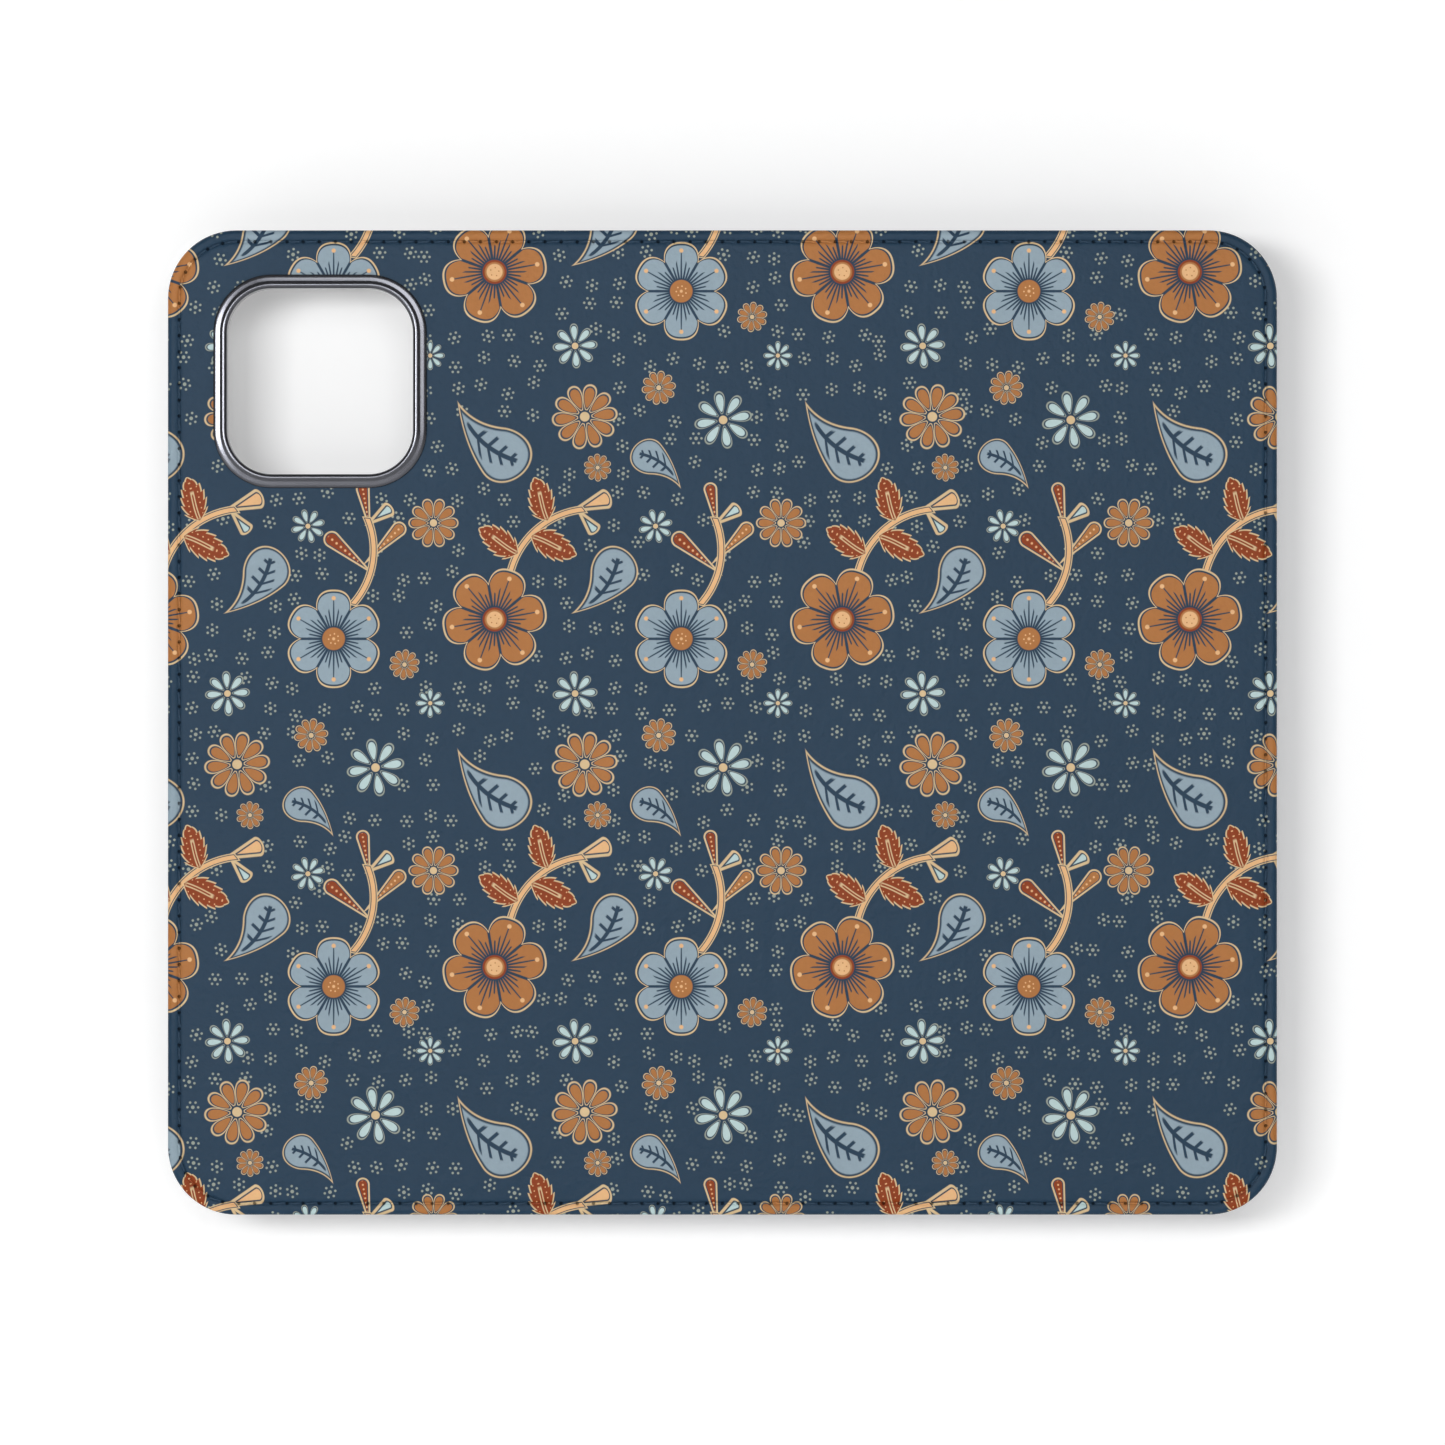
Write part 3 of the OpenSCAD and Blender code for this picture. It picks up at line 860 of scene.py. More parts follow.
def close_panel(name, spots, faces, place, top, low, uv):
    """A closed solid from a flat layout, an outer face and an inner face."""
    count, verts, uvs = len(spots), [], ([], [])
    for face in (top, low):
        for u, z in spots:
            x, zz = place(u, z)
            verts.append((x, face(u, z), zz))
            for pairs, value in zip(uvs, uv(u, z)):
                pairs.append(value)
    used = {}
    for face in faces:
        for a, b in zip(face, face[1:] + face[:1]):
            used[frozenset((a, b))] = None if frozenset((a, b)) in used else (a, b)
    walls = [(a, b, b + count, a + count) for a, b in filter(None, used.values())]
    under = [tuple(v + count for v in reversed(f)) for f in faces]
    piece = new_piece(name, verts, faces + under + walls, (("print", uvs[0]), ("seam", uvs[1])))
    return piece


def rounded_square(cx, cz, width, tall, radius, steps=10, runs=4):
    """Places round a rectangle with rounded corners."""
    radius = max(radius, 0.05)
    out = []
    w, h = width / 2 - radius, tall / 2 - radius
    corners = ((w, h, 0), (-w, h, 90), (-w, -h, 180), (w, -h, 270))
    for n, (x, z, start) in enumerate(corners):
        for k in range(steps + 1):
            a = math.radians(start + 90 * k / steps)
            out.append((cx + x + radius * math.cos(a), cz + z + radius * math.sin(a)))
        nx, nz, nstart = corners[(n + 1) % 4]
        a = math.radians(nstart)
        nx, nz = cx + nx + radius * math.cos(a), cz + nz + radius * math.sin(a)
        px, pz = out[-1]
        out += [(px + (nx - px) * k / runs, pz + (nz - pz) * k / runs) for k in range(1, runs)]
    return out


def sweep_rim(name, outline, profile, closed, steps=10, runs=4):
    """Sweeps a profile of (inset, y) round a rounded rectangle (cx, cz, width, tall, radius)."""
    cx, cz, width, tall, radius = outline
    verts, loops = [], []
    for inset, y in profile:
        loop = rounded_square(cx, cz, width - 2 * inset, tall - 2 * inset, radius - inset, steps, runs)
        loops.append(range(len(verts), len(verts) + len(loop)))
        verts += [(x, y, z) for x, z in loop]
    faces, rounds = [], list(zip(loops, loops[1:]))
    if closed:
        rounds.append((loops[-1], loops[0]))
    for a, b in rounds:
        faces += [(a[k - 1], a[k], b[k], b[k - 1]) for k in range(len(a))]
    if not closed:
        faces += [tuple(loops[0]), tuple(loops[-1])]
    return new_piece(name, verts, faces)


def cut(piece, *tools):
    """Cuts some solids out of a piece, and removes them."""
    for tool in tools:
        step = piece.modifiers.new("cut", "BOOLEAN")
        step.operation, step.solver, step.object = "DIFFERENCE", "EXACT", tool
    bake(piece)
    for tool in tools:
        bpy.data.objects.remove(tool)


def bake(piece):
    """Applies the piece's modifiers to its mesh."""
    bpy.context.view_layer.update()
    graph = bpy.context.evaluated_depsgraph_get()
    mesh = bpy.data.meshes.new_from_object(piece.evaluated_get(graph))
    piece.modifiers.clear()
    piece.data = mesh


def block(outline, low, high):
    """A plug with a rounded outline that cuts an opening, from y low to y high."""
    return sweep_rim("plug", outline, [(0, low), (0, high)], False, steps=12, runs=1)


def slot_plug(name, centre, run, size, direction):
    """A stadium-shaped plug: run long, size wide, cutting along direction (x or z)."""
    verts, faces, loops = [], [], []
    cx, cy, cz = centre
    for end in (-5, 5):
        loop = []
        for side, start in ((1, -90), (-1, 90)):
            for k in range(13):
                a = math.radians(start + 180 * k / 12)
                along = side * (run / 2 - size / 2) + size / 2 * math.cos(a)
                across = size / 2 * math.sin(a)
                loop.append(len(verts))
                spot = (cx + end, cy + across, cz + along) if direction == "x" else \
                    (cx + along, cy + across, cz + end)
                verts.append(spot)
        loops.append(loop)
    a, b = loops
    faces = [(a[k - 1], a[k], b[k], b[k - 1]) for k in range(len(a))] + [tuple(a), tuple(b)]
    return new_piece(name, verts, faces)


def dress(piece, made, *slot):
    """Gives a piece its only material. The slot argument is not used."""
    piece.data.materials.clear()
    piece.data.materials.append(made)


# ---------------------------------------------------------------- the folio's two halves

def leaf_grid():
    """Columns and rows of a half's inner field, finer at the fold."""
    ring = sizes().corner
    fold = LEAF - FOLD_V
    board = LEAF - (SPINE_X - BOARD[1].x)
    spine = LEAF - (SPINE_X - SPINE_BOARD[0].x)
    columns = spread(ring, fold - 5.5, 2.2)[:-1] + spread(fold - 5.5, fold + 4.5, 0.4)
    columns += [board - 0.02, board + 0.08, spine - 0.08, spine + 0.02]
    columns += spread(fold + 4.5, LEAF, 1.2)[1:]
    columns = sorted(set(round(c, 4) for c in columns))
    rows = spread(-TALL + ring, TALL - ring, 2.2)
    return ring, columns, rows


def leaf_layout(extra=()):
    """Flat layout of one half of the folio."""
    ring, columns, rows = leaf_grid()
    roll = sizes().roll
    levels = [roll * (1 - math.cos(math.radians(a))) for a in (0, 15, 30, 45, 60, 75, 90)]
    levels += [1.1, 1.35, 1.55, 1.7, 1.8, 1.9, 2.05, 2.25, 2.5, 2.8, 3.2, 3.8, 4.6, 5.8, 7.4, 9.0]
    levels = sorted(set(round(v, 4) for v in [*levels, *extra]))
    return panel_layout(LEAF, TALL, ring, sizes().corner, levels, columns, rows, steps=20)


def leaf_place(side):
    """Turns (from free edge, height) into the frame's x and z. side is 1 at the back, -1 in front."""
    edge = SPINE_X - side * LEAF
    return lambda u, z: (edge + side * u, z)


def seam_run(u, z):
    """How far along the seam a place lies, from the spine's middle at the bottom, in mm."""
    corner, seam = sizes().corner, sizes().seam
    arc = (corner - seam) * math.pi / 2
    flat, up = LEAF - corner, 2 * (TALL - corner)
    if u >= corner:
        run = LEAF - u if z < 0 else flat + arc + up + arc + (u - corner)
    elif abs(z) <= TALL - corner:
        run = flat + arc + z + TALL - corner
    else:
        angle = math.atan2(corner - u, abs(z) - (TALL - corner))
        run = flat + angle * (corner - seam)
        if z > 0:
            run = flat + arc + up + arc - angle * (corner - seam)
    return run


def seam_total():
    corner, seam = sizes().corner, sizes().seam
    return 2 * (LEAF - corner) + 2 * (TALL - corner) + (corner - seam) * math.pi


def stitch_pitch():
    """The stitch length that fits a whole number of stitches on a half's seam."""
    return seam_total() / round(seam_total() / sizes().pitch)


def leaf_uv(side):
    """The print's place and the seam's place for a point of a half."""
    place, repeat, pitch = leaf_place(side), sizes().repeat, stitch_pitch()

    def uv(u, z):
        x, zz = place(u, z)
        depth = rim_depth(u, z, LEAF, TALL, sizes().corner)
        near = depth < 6
        return (x / repeat, zz / repeat), (seam_run(u, z) / pitch if near else 0.5, depth)
    return uv


def wave(u, z, side):
    """Very slight unevenness of the leather."""
    return noise.noise(Vector((u * 0.07, z * 0.07, side * 9.3)))


def skin_outer(side):
    """The outer face of the skin."""
    roll, seam, groove, corner = sizes().roll, sizes().seam, sizes().groove, sizes().corner

    def face(u, z):
        depth = rim_depth(u, z, LEAF, TALL, corner)
        y = SKIN_OUT
        if depth < roll:
            y += roll * (1 - math.sqrt(max(1 - ((roll - depth) / roll) ** 2, 0)))
        y += groove * math.exp(-((depth - seam) / 0.36) ** 2)
        y += 0.06 * smooth(4.4, 2.9, depth) * smooth(0.2, 1.2, depth)
        v = LEAF - u
        y += 0.05 * math.exp(-((v - FOLD_V) / 1.1) ** 2) * smooth(0.5, 2.5, depth)
        y += 0.018 * wave(u, z, side) * smooth(2, 5, depth)
        return y
    return face


def lining_profile(v):
    """Height of the lining's face, by the distance from the spine's middle."""
    top, low, spine = LINING_TOP, LINING_TOP - LINING_STEP, SPINE_LINING[1].y
    edge = SPINE_X - LINING[1].x
    rise = smooth(FOLD_V + 0.4, edge + 0.9, v)
    dip = smooth(FOLD_V - 0.7, SPINE_X - SPINE_LINING[0].x - 0.4, v)
    return low + (top - low) * rise if v > FOLD_V else low + (spine - low) * dip


def lining_outer():
    """The inner side's face: the lining's visible surface."""
    seam, corner = sizes().seam, sizes().corner

    def face(u, z):
        depth = rim_depth(u, z, LEAF, TALL, corner)
        y = lining_profile(LEAF - u)
        if depth < 0.5:
            y -= 0.5 * (1 - math.sqrt(max(1 - ((0.5 - depth) / 0.5) ** 2, 0)))
        y -= 0.14 * math.exp(-((depth - seam) / 0.38) ** 2)
        y -= 0.10 * smooth(3.6, 2.7, depth)
        return y
    return face


def lining_under(u, z):
    """The hidden face of the lining, which goes round the boards."""
    depth = rim_depth(u, z, LEAF, TALL, sizes().corner)
    v = LEAF - u
    if depth > GLUE_RIM and v > SPINE_X - BOARD[1].x - 0.01:
        return BOARD[1].y
    if depth > GLUE_RIM and v < SPINE_X - SPINE_BOARD[0].x + 0.01:
        return SPINE_BOARD[1].y
    return SKIN_IN


HALVES = {"back": (1, "back_panel", "spine"), "front": (-1, "front_cover", "spine")}


def follow_fold(piece):
    """Bakes the piece's transform into its mesh."""
    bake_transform(piece)


def window_outline(grow=0.0):
    """The camera window's centre, width, height and corner radius, grown by some millimetres."""
    cx, cz = (BEZEL[0].x + BEZEL[1].x) / 2, (BEZEL[0].z + BEZEL[1].z) / 2
    clear = BEZEL[1].x - BEZEL[0].x - 2 * BEZEL_BAND
    return cx, cz, clear + 2 * grow, clear + 2 * grow, WINDOW_CORNER + grow


def make_skins():
    """The printed skin in two halves that meet on the spine's middle line."""
    leather = printed_leather()
    spots, faces = leaf_layout()
    for half, (side, _, _) in HALVES.items():
        skin = close_panel(f"outer_skin_{half}", spots, faces, leaf_place(side), skin_outer(side),
                           lambda u, z: SKIN_IN, leaf_uv(side))
        if half == "back":
            cut(skin, block(window_outline(WINDOW_ROOM), SKIN_OUT - 2, SKIN_IN + 2))
        shade_smooth(skin, 50)
        dress(skin, leather, "printed_skin")
        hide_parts(f"{half}_skin", "spine_skin")
        follow_fold(skin)


def make_linings():
    """The lining in two halves, over the boards and down into the folds."""
    cloth = microfibre()
    spots, faces = leaf_layout(extra=(0.07, 0.25, 0.5, 3.02, 3.08))
    for half, (side, _, _) in HALVES.items():
        lining = close_panel(f"lining_{half}", spots, faces, leaf_place(side), lining_outer(),
                             lining_under, leaf_uv(side))
        if half == "back":
            cut(lining, block(window_outline(WINDOW_ROOM), SKIN_IN - 2, LINING_TOP + 2))
        shade_smooth(lining, 50)
        dress(lining, cloth, "lining")
        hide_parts(f"{half}_lining", "spine_lining")
        follow_fold(lining)


# ---------------------------------------------------------------- stitches

def seam_spot(run):
    """Place on a half's seam at some distance along it, as (from free edge, height)."""
    corner, seam = sizes().corner, sizes().seam
    radius, flat, up = corner - seam, LEAF - corner, 2 * (TALL - corner)
    arc = radius * math.pi / 2
    if run <= flat:
        return LEAF - run, seam - TALL
    if run <= flat + arc:
        a = (run - flat) / radius
        return corner - radius * math.sin(a), corner - TALL - radius * math.cos(a)
    if run <= flat + arc + up:
        return seam, run - flat - arc - TALL + corner
    if run <= flat + 2 * arc + up:
        a = (run - flat - arc - up) / radius
        return corner - radius * math.cos(a), TALL - corner + radius * math.sin(a)
    return corner + run - flat - 2 * arc - up, TALL - seam


def stitch(spot_at, start, stop, surface, out, verts, faces, uvs):
    """One bent length of thread between two needle holes. out is -1 on the outer side, 1 inside."""
    radius, first, sides = sizes().thread / 2, len(verts), 8
    stations = (0.0, 0.05, 0.13, 0.27, 0.5, 0.73, 0.87, 0.95, 1.0)
    middle = [spot_at(start + (stop - start) * (0.05 + 0.90 * t)) for t in stations]
    for n, t in enumerate(stations):
        u, z = middle[n]
        (pu, pz), (nu, nz) = middle[max(n - 1, 0)], middle[min(n + 1, len(middle) - 1)]
        du, dz = nu - pu, nz - pz
        size = math.hypot(du, dz)
        du, dz = du / size, dz / size
        lift = min(1.0, math.sin(math.pi * t) * 2.4)
        y = surface + out * (radius * 0.55 * lift - 0.32 * (1 - lift))
        fat = radius * (0.72 + 0.28 * lift)
        skew = (t - 0.5) * 0.14
        for k in range(sides):
            a = math.tau * k / sides
            side = fat * math.cos(a) + skew
            verts.append((u - dz * side, y + out * fat * 0.9 * math.sin(a), z + du * side))
            uvs.append((t, k / sides))
    for n in range(len(stations) - 1):
        a, b = first + n * sides, first + (n + 1) * sides
        faces += [(a + k, a + (k + 1) % sides, b + (k + 1) % sides, b + k) for k in range(sides)]
    last = first + (len(stations) - 1) * sides
    faces.append(tuple(range(first, first + sides)))
    faces.append(tuple(range(last, last + sides)))


def leaf_stitches(half, run, out, surface, thread):
    """One run of the edge seam on one half: the outer one or the one on the lining."""
    side = HALVES[half][0]
    place, pitch, repeat = leaf_place(side), stitch_pitch(), sizes().repeat
    verts, faces, uvs = [], [], []
    for n in range(round(seam_total() / pitch)):
        middle = seam_spot((n + 0.5) * pitch)
        stitch(seam_spot, n * pitch, (n + 1) * pitch, surface(*middle), out, verts, faces, uvs)
    verts = [(place(u, z)[0], y, z) for u, y, z in verts]
    cloth = [(x / repeat, z / repeat) for x, y, z in verts]
    piece = new_piece(f"{run}_stitches_{half}", verts, faces, (("print", uvs), ("seam", cloth)))
    shade_smooth(piece, 60)
    dress(piece, thread, "thread")
    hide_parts(f"{half}_stitching", "spine_stitching")
    follow_fold(piece)


def make_edge_stitches():
    """Both runs of the edge seam: printed over outside, plain thread on the lining."""
    plain, over = sewing_thread(), printed_thread(bpy.data.node_groups["floral print"])
    for half, (side, _, _) in HALVES.items():
        leaf_stitches(half, "outer", -1, skin_outer(side), over)
        leaf_stitches(half, "inner", 1, lining_outer(), plain)


# ---------------------------------------------------------------- pockets

def pocket_sheet(name, leather, puff, mouth, cover=None, corner=1.6):
    """One sheet of a pocket with turned edges. mouth is the open side: top or fold."""
    low, high = edges_of(name)
    width, tall = high.x - low.x, (high.z - low.z) / 2
    mid = (high.z + low.z) / 2
    ring = 3.0
    levels = (0, 0.025, 0.08, 0.17, 0.35, 0.9, 1.35, 1.6, 1.85, 2.3)
    columns = spread(ring, width - ring, 2.5)
    rows = spread(-tall + ring, tall - ring, 2.5)
    spots, faces = panel_layout(width, tall, ring, corner, levels, columns, rows, 8, True)

    def top(u, z):
        depth = rim_depth(u, z, width, tall, corner, True)
        y = high.y
        if depth < 0.17:
            y -= 0.17 * (1 - math.sqrt(max(1 - ((0.17 - depth) / 0.17) ** 2, 0)))
        to_mouth = tall - z if mouth == "top" else u
        y -= 0.05 * math.exp(-((depth - 1.6) / 0.4) ** 2) * (0 if to_mouth < 1.7 else 1)
        across = smooth(0, width * 0.4, min(u, width - u)) if mouth == "top" else \
            smooth(0, tall * 0.5, tall - abs(z))
        fade = smooth(0, 4, depth)
        if cover is not None:
            fade *= smooth(cover - mid - 1.5, cover - mid + 3, z)
        y += puff * across * fade
        y += 0.04 * math.exp(-((to_mouth - 1.2) / 0.9) ** 2)
        return y

    def uv(u, z):
        return ((low.x + u) / sizes().repeat, (mid + z) / sizes().repeat), (0.5, 5.0)

    piece = close_panel(name.replace("pocket", "sheet"), spots, faces,
                        lambda u, z: (low.x + u, mid + z), top, lambda u, z: low.y, uv)
    shade_smooth(piece, 50)
    dress(piece, leather, "pocket")
    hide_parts(name)
    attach(piece, "front_cover")
    return top, low, mid, width, tall


def straight_run(points):
    """A function from distance to place along a path of straight lines, and its length."""
    total = [0.0]
    for a, b in zip(points, points[1:]):
        total.append(total[-1] + math.dist(a, b))

    def at(run):
        run = min(max(run, 0), total[-1])
        for n in range(len(points) - 1):
            if run <= total[n + 1] + 1e-9:
                t = (run - total[n]) / (total[n + 1] - total[n])
                (a, b), (c, d) = points[n], points[n + 1]
                return a + (c - a) * t, b + (d - b) * t
        return points[-1]
    return at, total[-1]


def make_pockets():
    """The cash pocket, three card pockets and their seams."""
    leather, thread = pocket_leather(), bpy.data.materials.get("polyester thread") or sewing_thread()
    inset, seams = POCKET_INSET, []
    cards = [edges_of(f"card_pocket_{n}")[1].z for n in ("rear", "middle", "front")]
    made = [pocket_sheet("cash_pocket", leather, 0.0, "fold"),
            pocket_sheet("card_pocket_rear", leather, 0.05, "top", cards[1]),
            pocket_sheet("card_pocket_middle", leather, 0.05, "top", cards[2]),
            pocket_sheet("card_pocket_front", leather, 0.12, "top")]
    for n, (top, low, mid, width, tall) in enumerate(made):
        if n == 0:
            path = [(MOUTH_GAP, -tall + inset), (width - inset, -tall + inset),
                    (width - inset, tall - inset), (MOUTH_GAP, tall - inset)]
        else:
            stop = (cards[n] if n < 3 else low.z + inset) - mid
            for u in (inset, width - inset):
                seams.append((top, low, mid, [(u, tall - MOUTH_GAP), (u, stop)]))
            path = [(inset, tall - 1.2), (width - inset, tall - 1.2)]
            if n == 3:
                seams.append((top, low, mid, [(inset, stop), (width - inset, stop)]))
        seams.append((top, low, mid, path))
    verts, faces, uvs = [], [], []
    for top, low, mid, path in seams:
        first = len(verts)
        at, total = straight_run(path)
        count = round(total / sizes().pitch)
        for k in range(count):
            a, b = total * k / count, total * (k + 1) / count
            stitch(at, a, b, top(*at((a + b) / 2)) - 0.08, 1, verts, faces, uvs)
        verts[first:] = [(low.x + u, y, mid + z) for u, y, z in verts[first:]]
    piece = new_piece("pocket_stitches", verts, faces, (("print", uvs),))
    shade_smooth(piece, 60)
    dress(piece, thread, "thread")
    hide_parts("pocket_stitching")
    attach(piece, "front_cover")


# ---------------------------------------------------------------- hard parts

def make_bezel():
    """The polished bezel round the camera window, with its sleeve."""
    low, high = BEZEL
    width = high.x - low.x
    out, under, end = low.y, SKIN_OUT, high.y
    profile = [(0.06, under), (0.0, under - 0.12), (0.04, under - 0.30), (0.15, under - 0.44),
               (0.33, under - 0.51), (0.60, under - 0.54), (0.98, under - 0.56),
               (1.10, under - 0.58), (1.22, under - 0.64), (1.34, under - 0.73),
               (1.48, under - 0.785), (1.64, out), (1.80, out + 0.02), (1.95, out + 0.09),
               (2.08, out + 0.22), (2.16, out + 0.42), (BEZEL_BAND, out + 0.75),
               (BEZEL_BAND, end - 0.12), (2.14, end), (1.5, end), (1.4, end - 0.1), (1.4, under + 0.02),
               (1.38, under)]
    outline = ((low.x + high.x) / 2, (low.z + high.z) / 2, width, high.z - low.z, 9.1)
    bezel = sweep_rim("bezel", outline, profile, True, steps=18, runs=6)
    shade_smooth(bezel, 42)
    dress(bezel, polished_bezel(), "bezel")
    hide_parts("camera_bezel")
    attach(bezel, "back_panel")


def make_tray():
    """The soft tray that snaps round the phone, with its lip and openings."""
    low, high = TRAY
    wall, floor = TRAY_WALL, LINER[0].y
    profile = [(9, low.y), (0.75, low.y), (0.42, low.y + 0.06), (0.16, low.y + 0.22),
               (0.03, low.y + 0.46), (0, low.y + 0.8), (0, 2.5), (0, 5.5), (0, high.y - 0.9),
               (0.06, high.y - 0.58), (0.22, high.y - 0.28), (0.48, high.y - 0.08), (0.8, high.y),
               (1.55, high.y), (1.85, high.y - 0.05), (2.03, high.y - 0.18), (2.1, high.y - 0.38),
               (2.06, high.y - 0.58), (1.9, high.y - 0.74), (1.62, high.y - 0.84),
               (wall, high.y - 0.98), (wall, 4.0), (wall, floor + 0.5), (wall + 0.1, floor + 0.22),
               (wall + 0.3, floor + 0.06), (wall + 0.6, floor), (9, floor)]
    outline = ((low.x + high.x) / 2, 0, high.x - low.x, high.z - low.z, TRAY_CORNER)
    tray = sweep_rim("tray", outline, profile, False, steps=14, runs=8)
    middle = (floor + 0.4 + PHONE_DEPTH) / 2
    cut(tray, block(window_outline(WINDOW_ROOM), low.y - 2, floor + 2),
        slot_plug("plug", (0, middle, low.z), 46, 5.4, "z"),
        slot_plug("plug", (high.x, middle, 28), 38, 5.4, "x"),
        slot_plug("plug", (low.x, middle, 22), 20, 5.4, "x"))
    soft = tray.modifiers.new("soft edges", "BEVEL")
    soft.width, soft.segments, soft.limit_method = 0.28 * MM, 3, "ANGLE"
    soft.angle_limit = math.radians(55)
    bake(tray)
    shade_smooth(tray, 40)
    dress(tray, soft_plastic("soft tray plastic", list(colours().tray), 0.5, 0.00003), "tray")
    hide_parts("phone_tray")
    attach(tray, "back_panel")


def finish_hidden_parts():
    """Boards, film, liner, keepers and magnets keep their own shape and get their finish."""
    board, steel = greyboard(), brushed_metal("steel keeper", code("A9ABAF"), 0.25)
    looks = {"back_board": board, "spine_board": board, "front_board": board,
             "tray_liner": liner_cloth(), "closure_keepers": steel,
             "closure_magnets": brushed_metal("plated magnet", code("8E9096"), 0.18),
             "bond_film": soft_plastic("adhesive film", code("C9CBC6"), 0.3, 0.00001)}
    for name, made in looks.items():
        node = frame["nodes"][name]
        for place in node.material_slots:
            place.link = "OBJECT"
            place.material = made
        if name in ("tray_liner", "back_board", "front_board", "spine_board"):
            soft = node.modifiers.new("soft edges", "BEVEL")
            soft.width, soft.segments, soft.limit_method = 0.08 * MM, 2, "ANGLE"
            soft.angle_limit = math.radians(50)


# ---------------------------------------------------------------- the stage

def stage_finish(name, tone, glow):
    """A pale matt finish that is seen from its front only, so it never hides the case."""
    made, tree, shader = material(name, rough=0.9)
    shader.inputs["Base Color"].default_value = (*tone, 1)
    shader.inputs["Emission Color"].default_value = (1, 1, 1, 1)
    ray = tree.nodes.new("ShaderNodeLightPath")
    shader.inputs["Emission Strength"].default_value = glow
    shader.inputs["Specular IOR Level"].default_value = 0.0
    clear, blend = tree.nodes.new("ShaderNodeBsdfTransparent"), tree.nodes.new("ShaderNodeMixShader")
    facing = tree.nodes.new("ShaderNodeNewGeometry")
    share = Term(tree, facing.outputs["Backfacing"]).high(Term(tree, ray.outputs["Is Shadow Ray"]))
    feed(tree, blend.inputs[0], share)
    tree.links.new(shader.outputs[0], blend.inputs[1])
    tree.links.new(clear.outputs[0], blend.inputs[2])
    tree.links.new(blend.outputs[0], tree.nodes["Material Output"].inputs["Surface"])
    return made


def plane(name, corners, made):
    """A stage surface from its four corners, in metres, seen from the side it is listed on."""
    mesh = bpy.data.meshes.new(name)
    mesh.from_pydata(corners, [], [(0, 1, 2, 3)])
    piece = bpy.data.objects.new(name, mesh)
    bpy.context.scene.collection.objects.link(piece)
    mesh.materials.append(made)
    piece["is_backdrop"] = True
    return piece


def lamp(name, place, target, size, power):
    """A soft light, size (width, height) in metres, that no camera sees."""
    data = bpy.data.lights.new(name, "AREA")
    data.shape, data.energy = "RECTANGLE", power
    data.size, data.size_y = size
    light = bpy.data.objects.new(name, data)
    bpy.context.scene.collection.objects.link(light)
    light.location = place
    light.rotation_euler = (Vector(target) - Vector(place)).to_track_quat("-Z", "Y").to_euler()
    light.visible_camera = False
    return light


def make_stage():
    """Pale wall and floor, soft studio lights, the world and the camera."""
    pale = stage_finish("pale studio paper", (0.90, 0.90, 0.90), 0.21)
    matt = stage_finish("pale studio floor", (0.85, 0.85, 0.85), 0.22)
    glowing = stage_finish("pale studio floor behind", (0.85, 0.85, 0.85), 0.28)
    near, far, back, floor, foot = -STAGE_REACH, STAGE_REACH, WALL_Y, FLOOR_Z, WALL_FOOT
    plane("wall", [(near, back, foot), (far, back, foot), (far, back, far), (near, back, far)], pale)
    plane("floor", [(near, near, floor), (far, near, floor), (far, back, floor),
                    (near, back, floor)], matt)
    rear = plane("floor_rear", [(near, back, floor), (far, back, floor), (far, far, floor),
                                (near, far, floor)], glowing)
    aim = (SPINE_X * MM, 0, 0)
    lamp("key", (aim[0] - 0.40, -1.15, 0.11), aim, (0.46, 0.20), 6.3)
    lamp("fill", (aim[0] + 0.1, -1.5, 0.3), aim, (0.5, 0.4), 4.0)
    case = bpy.data.collections.new("case pieces")
    for piece in (*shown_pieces(), rear):
        case.objects.link(piece)
    for light in (lamp("back key", (aim[0] - 0.6, 1.1, 0.6), aim, (0.8, 0.8), 13.0),
                  lamp("back fill", (aim[0] + 0.8, 1.0, 0.1), aim, (0.9, 0.9), 7.0)):
        light.light_linking.receiver_collection = case
    world = bpy.data.worlds.new("pale studio")
    world.use_nodes = True
    tree, glow = world.node_tree, world.node_tree.nodes["Background"]
    glow.inputs[0].default_value = (1, 1, 1, 1)
    seen = Term(tree, tree.nodes.new("ShaderNodeLightPath").outputs["Is Camera Ray"])
    feed(tree, glow.inputs[1], seen.times_plus(0.72, 0.12))
    scene = bpy.context.scene
    scene.world = world
    scene.view_settings.view_transform = "Standard"
    lens = bpy.data.cameras.new("camera")
    lens.lens, lens.sensor_width = 200, 36
    camera = bpy.data.objects.new("camera", lens)
    scene.collection.objects.link(camera)
    camera.location = (aim[0], SKIN_OUT * MM - CAMERA_AWAY, 0)
    camera.rotation_euler = (math.pi / 2, 0, 0)
    scene.camera = camera


# ---------------------------------------------------------------- operators and panel

class CASE_OT_skins(bpy.types.Operator):
    """Make the printed outer skin"""
    bl_idname = "phone_case.skins"
    bl_label = "Printed outer skin"

    def execute(self, context):
        make_skins()
        return {"FINISHED"}


class CASE_OT_linings(bpy.types.Operator):
    """Make the microfibre lining"""
    bl_idname = "phone_case.linings"
    bl_label = "Lining"

    def execute(self, context):
        make_linings()
        return {"FINISHED"}


class CASE_OT_stitches(bpy.types.Operator):
    """Sew the edge seam"""
    bl_idname = "phone_case.stitches"
    bl_label = "Edge stitches"

    def execute(self, context):
        make_edge_stitches()
        return {"FINISHED"}


class CASE_OT_pockets(bpy.types.Operator):
    """Make the cash pocket and the card pockets"""
    bl_idname = "phone_case.pockets"
    bl_label = "Pockets"

    def execute(self, context):
        make_pockets()
        return {"FINISHED"}


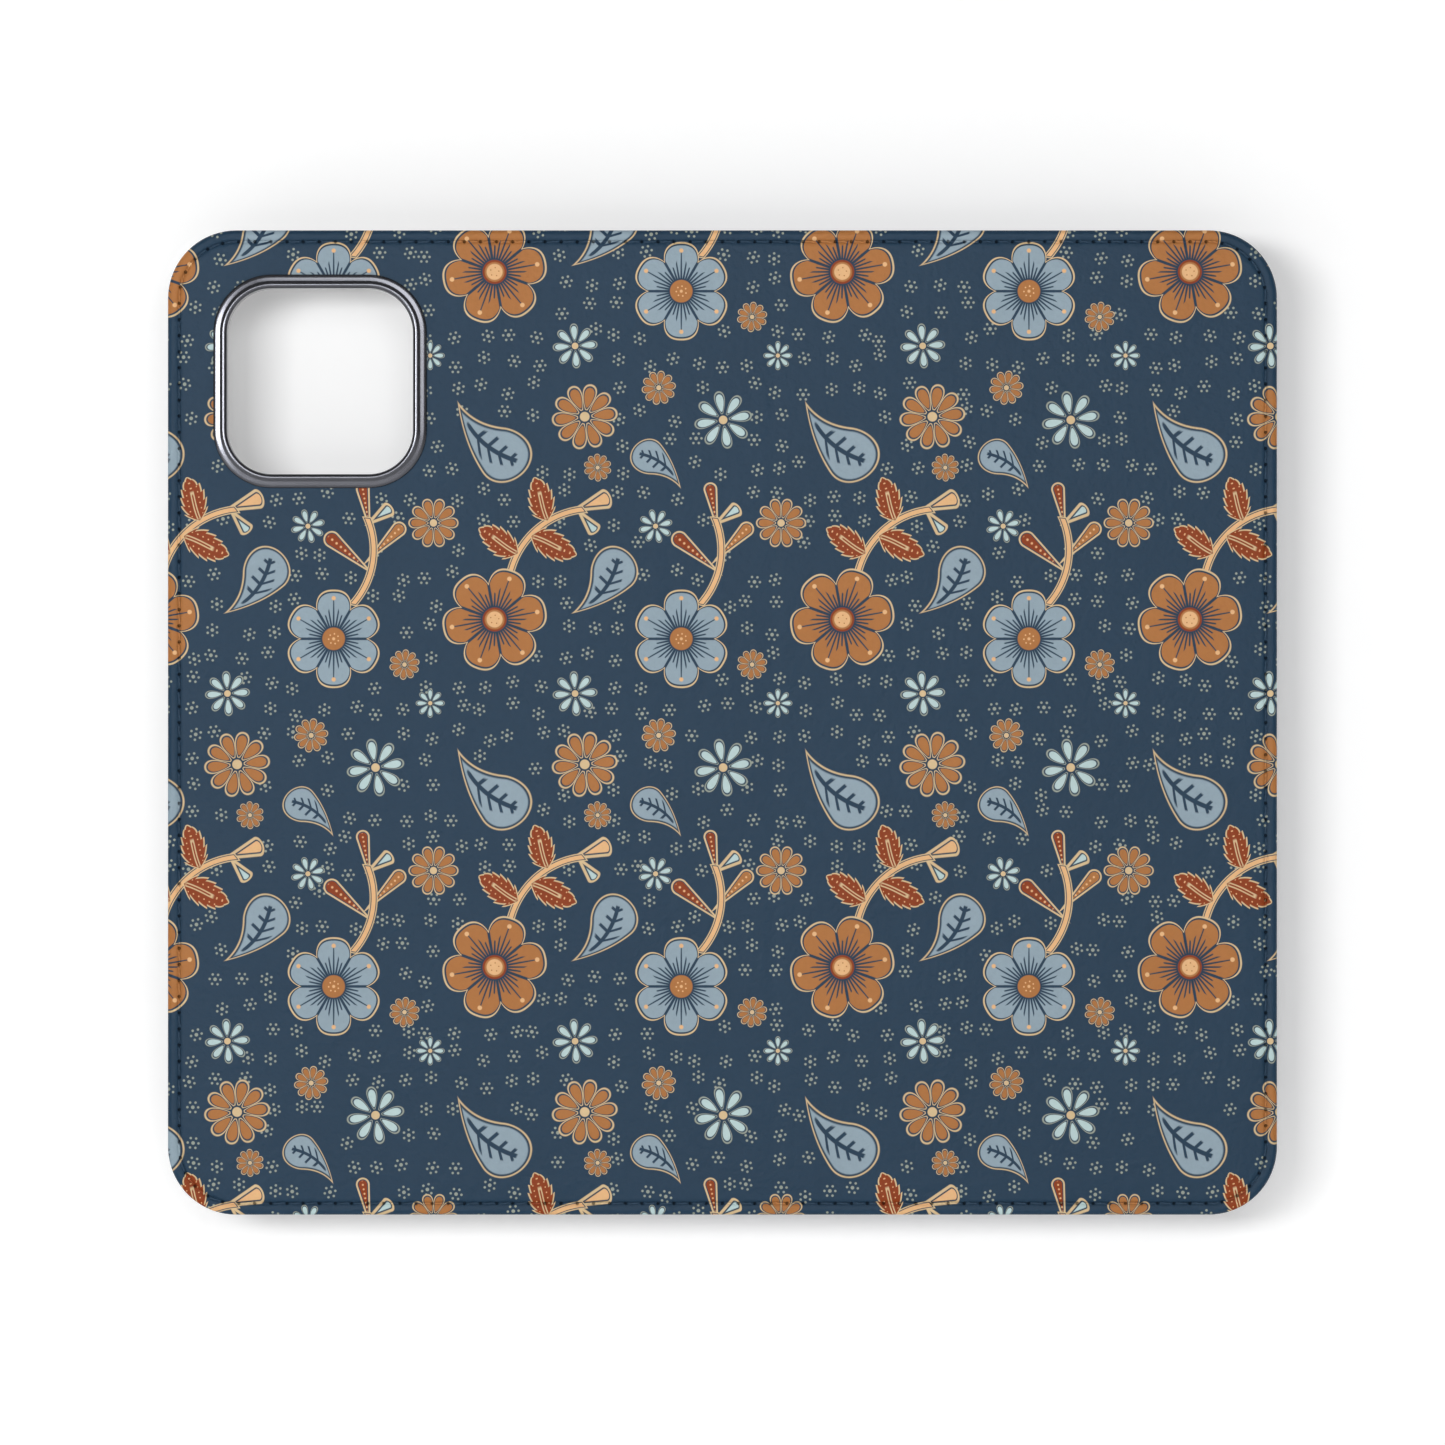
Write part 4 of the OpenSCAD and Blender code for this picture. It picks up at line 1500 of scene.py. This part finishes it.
class CASE_OT_bezel(bpy.types.Operator):
    """Make the camera bezel"""
    bl_idname = "phone_case.bezel"
    bl_label = "Camera bezel"

    def execute(self, context):
        make_bezel()
        return {"FINISHED"}


class CASE_OT_tray(bpy.types.Operator):
    """Make the phone tray"""
    bl_idname = "phone_case.tray"
    bl_label = "Phone tray"

    def execute(self, context):
        make_tray()
        return {"FINISHED"}


class CASE_OT_hidden(bpy.types.Operator):
    """Finish the liner, boards, film, keepers and magnets"""
    bl_idname = "phone_case.hidden"
    bl_label = "Liner and hidden parts"

    def execute(self, context):
        finish_hidden_parts()
        return {"FINISHED"}


class CASE_OT_stage(bpy.types.Operator):
    """Set up the wall, floor, lights and camera"""
    bl_idname = "phone_case.stage"
    bl_label = "Studio stage"

    def execute(self, context):
        make_stage()
        return {"FINISHED"}


OPERATORS = (CASE_OT_skins, CASE_OT_linings, CASE_OT_stitches, CASE_OT_pockets, CASE_OT_bezel,
             CASE_OT_tray, CASE_OT_hidden, CASE_OT_stage)


class CASE_PT_panel(bpy.types.Panel):
    """Sizes, colours and steps of the phone case"""
    bl_idname = "CASE_PT_panel"
    bl_label = "Folio phone case"
    bl_space_type, bl_region_type, bl_category = "VIEW_3D", "UI", "Phone case"

    def draw(self, context):
        for group in (context.scene.case_sizes, context.scene.case_colours):
            box = self.layout.box()
            for name in group.__annotations__:
                box.prop(group, name)
        for operator in OPERATORS:
            self.layout.operator(operator.bl_idname)


CLASSES = (CaseSizes, CaseColours, *OPERATORS, CASE_PT_panel)


def register():
    for item in CLASSES:
        bpy.utils.register_class(item)
    bpy.types.Scene.case_sizes = PointerProperty(type=CaseSizes)
    bpy.types.Scene.case_colours = PointerProperty(type=CaseColours)


def unregister():
    del bpy.types.Scene.case_sizes, bpy.types.Scene.case_colours
    for item in reversed(CLASSES):
        bpy.utils.unregister_class(item)


def main():
    """Makes every piece and the stage."""
    register()
    steps = bpy.ops.phone_case
    for step in (steps.skins, steps.linings, steps.stitches, steps.pockets, steps.bezel, steps.tray,
                 steps.hidden, steps.stage):
        step()


if __name__ == "__main__":
    main()
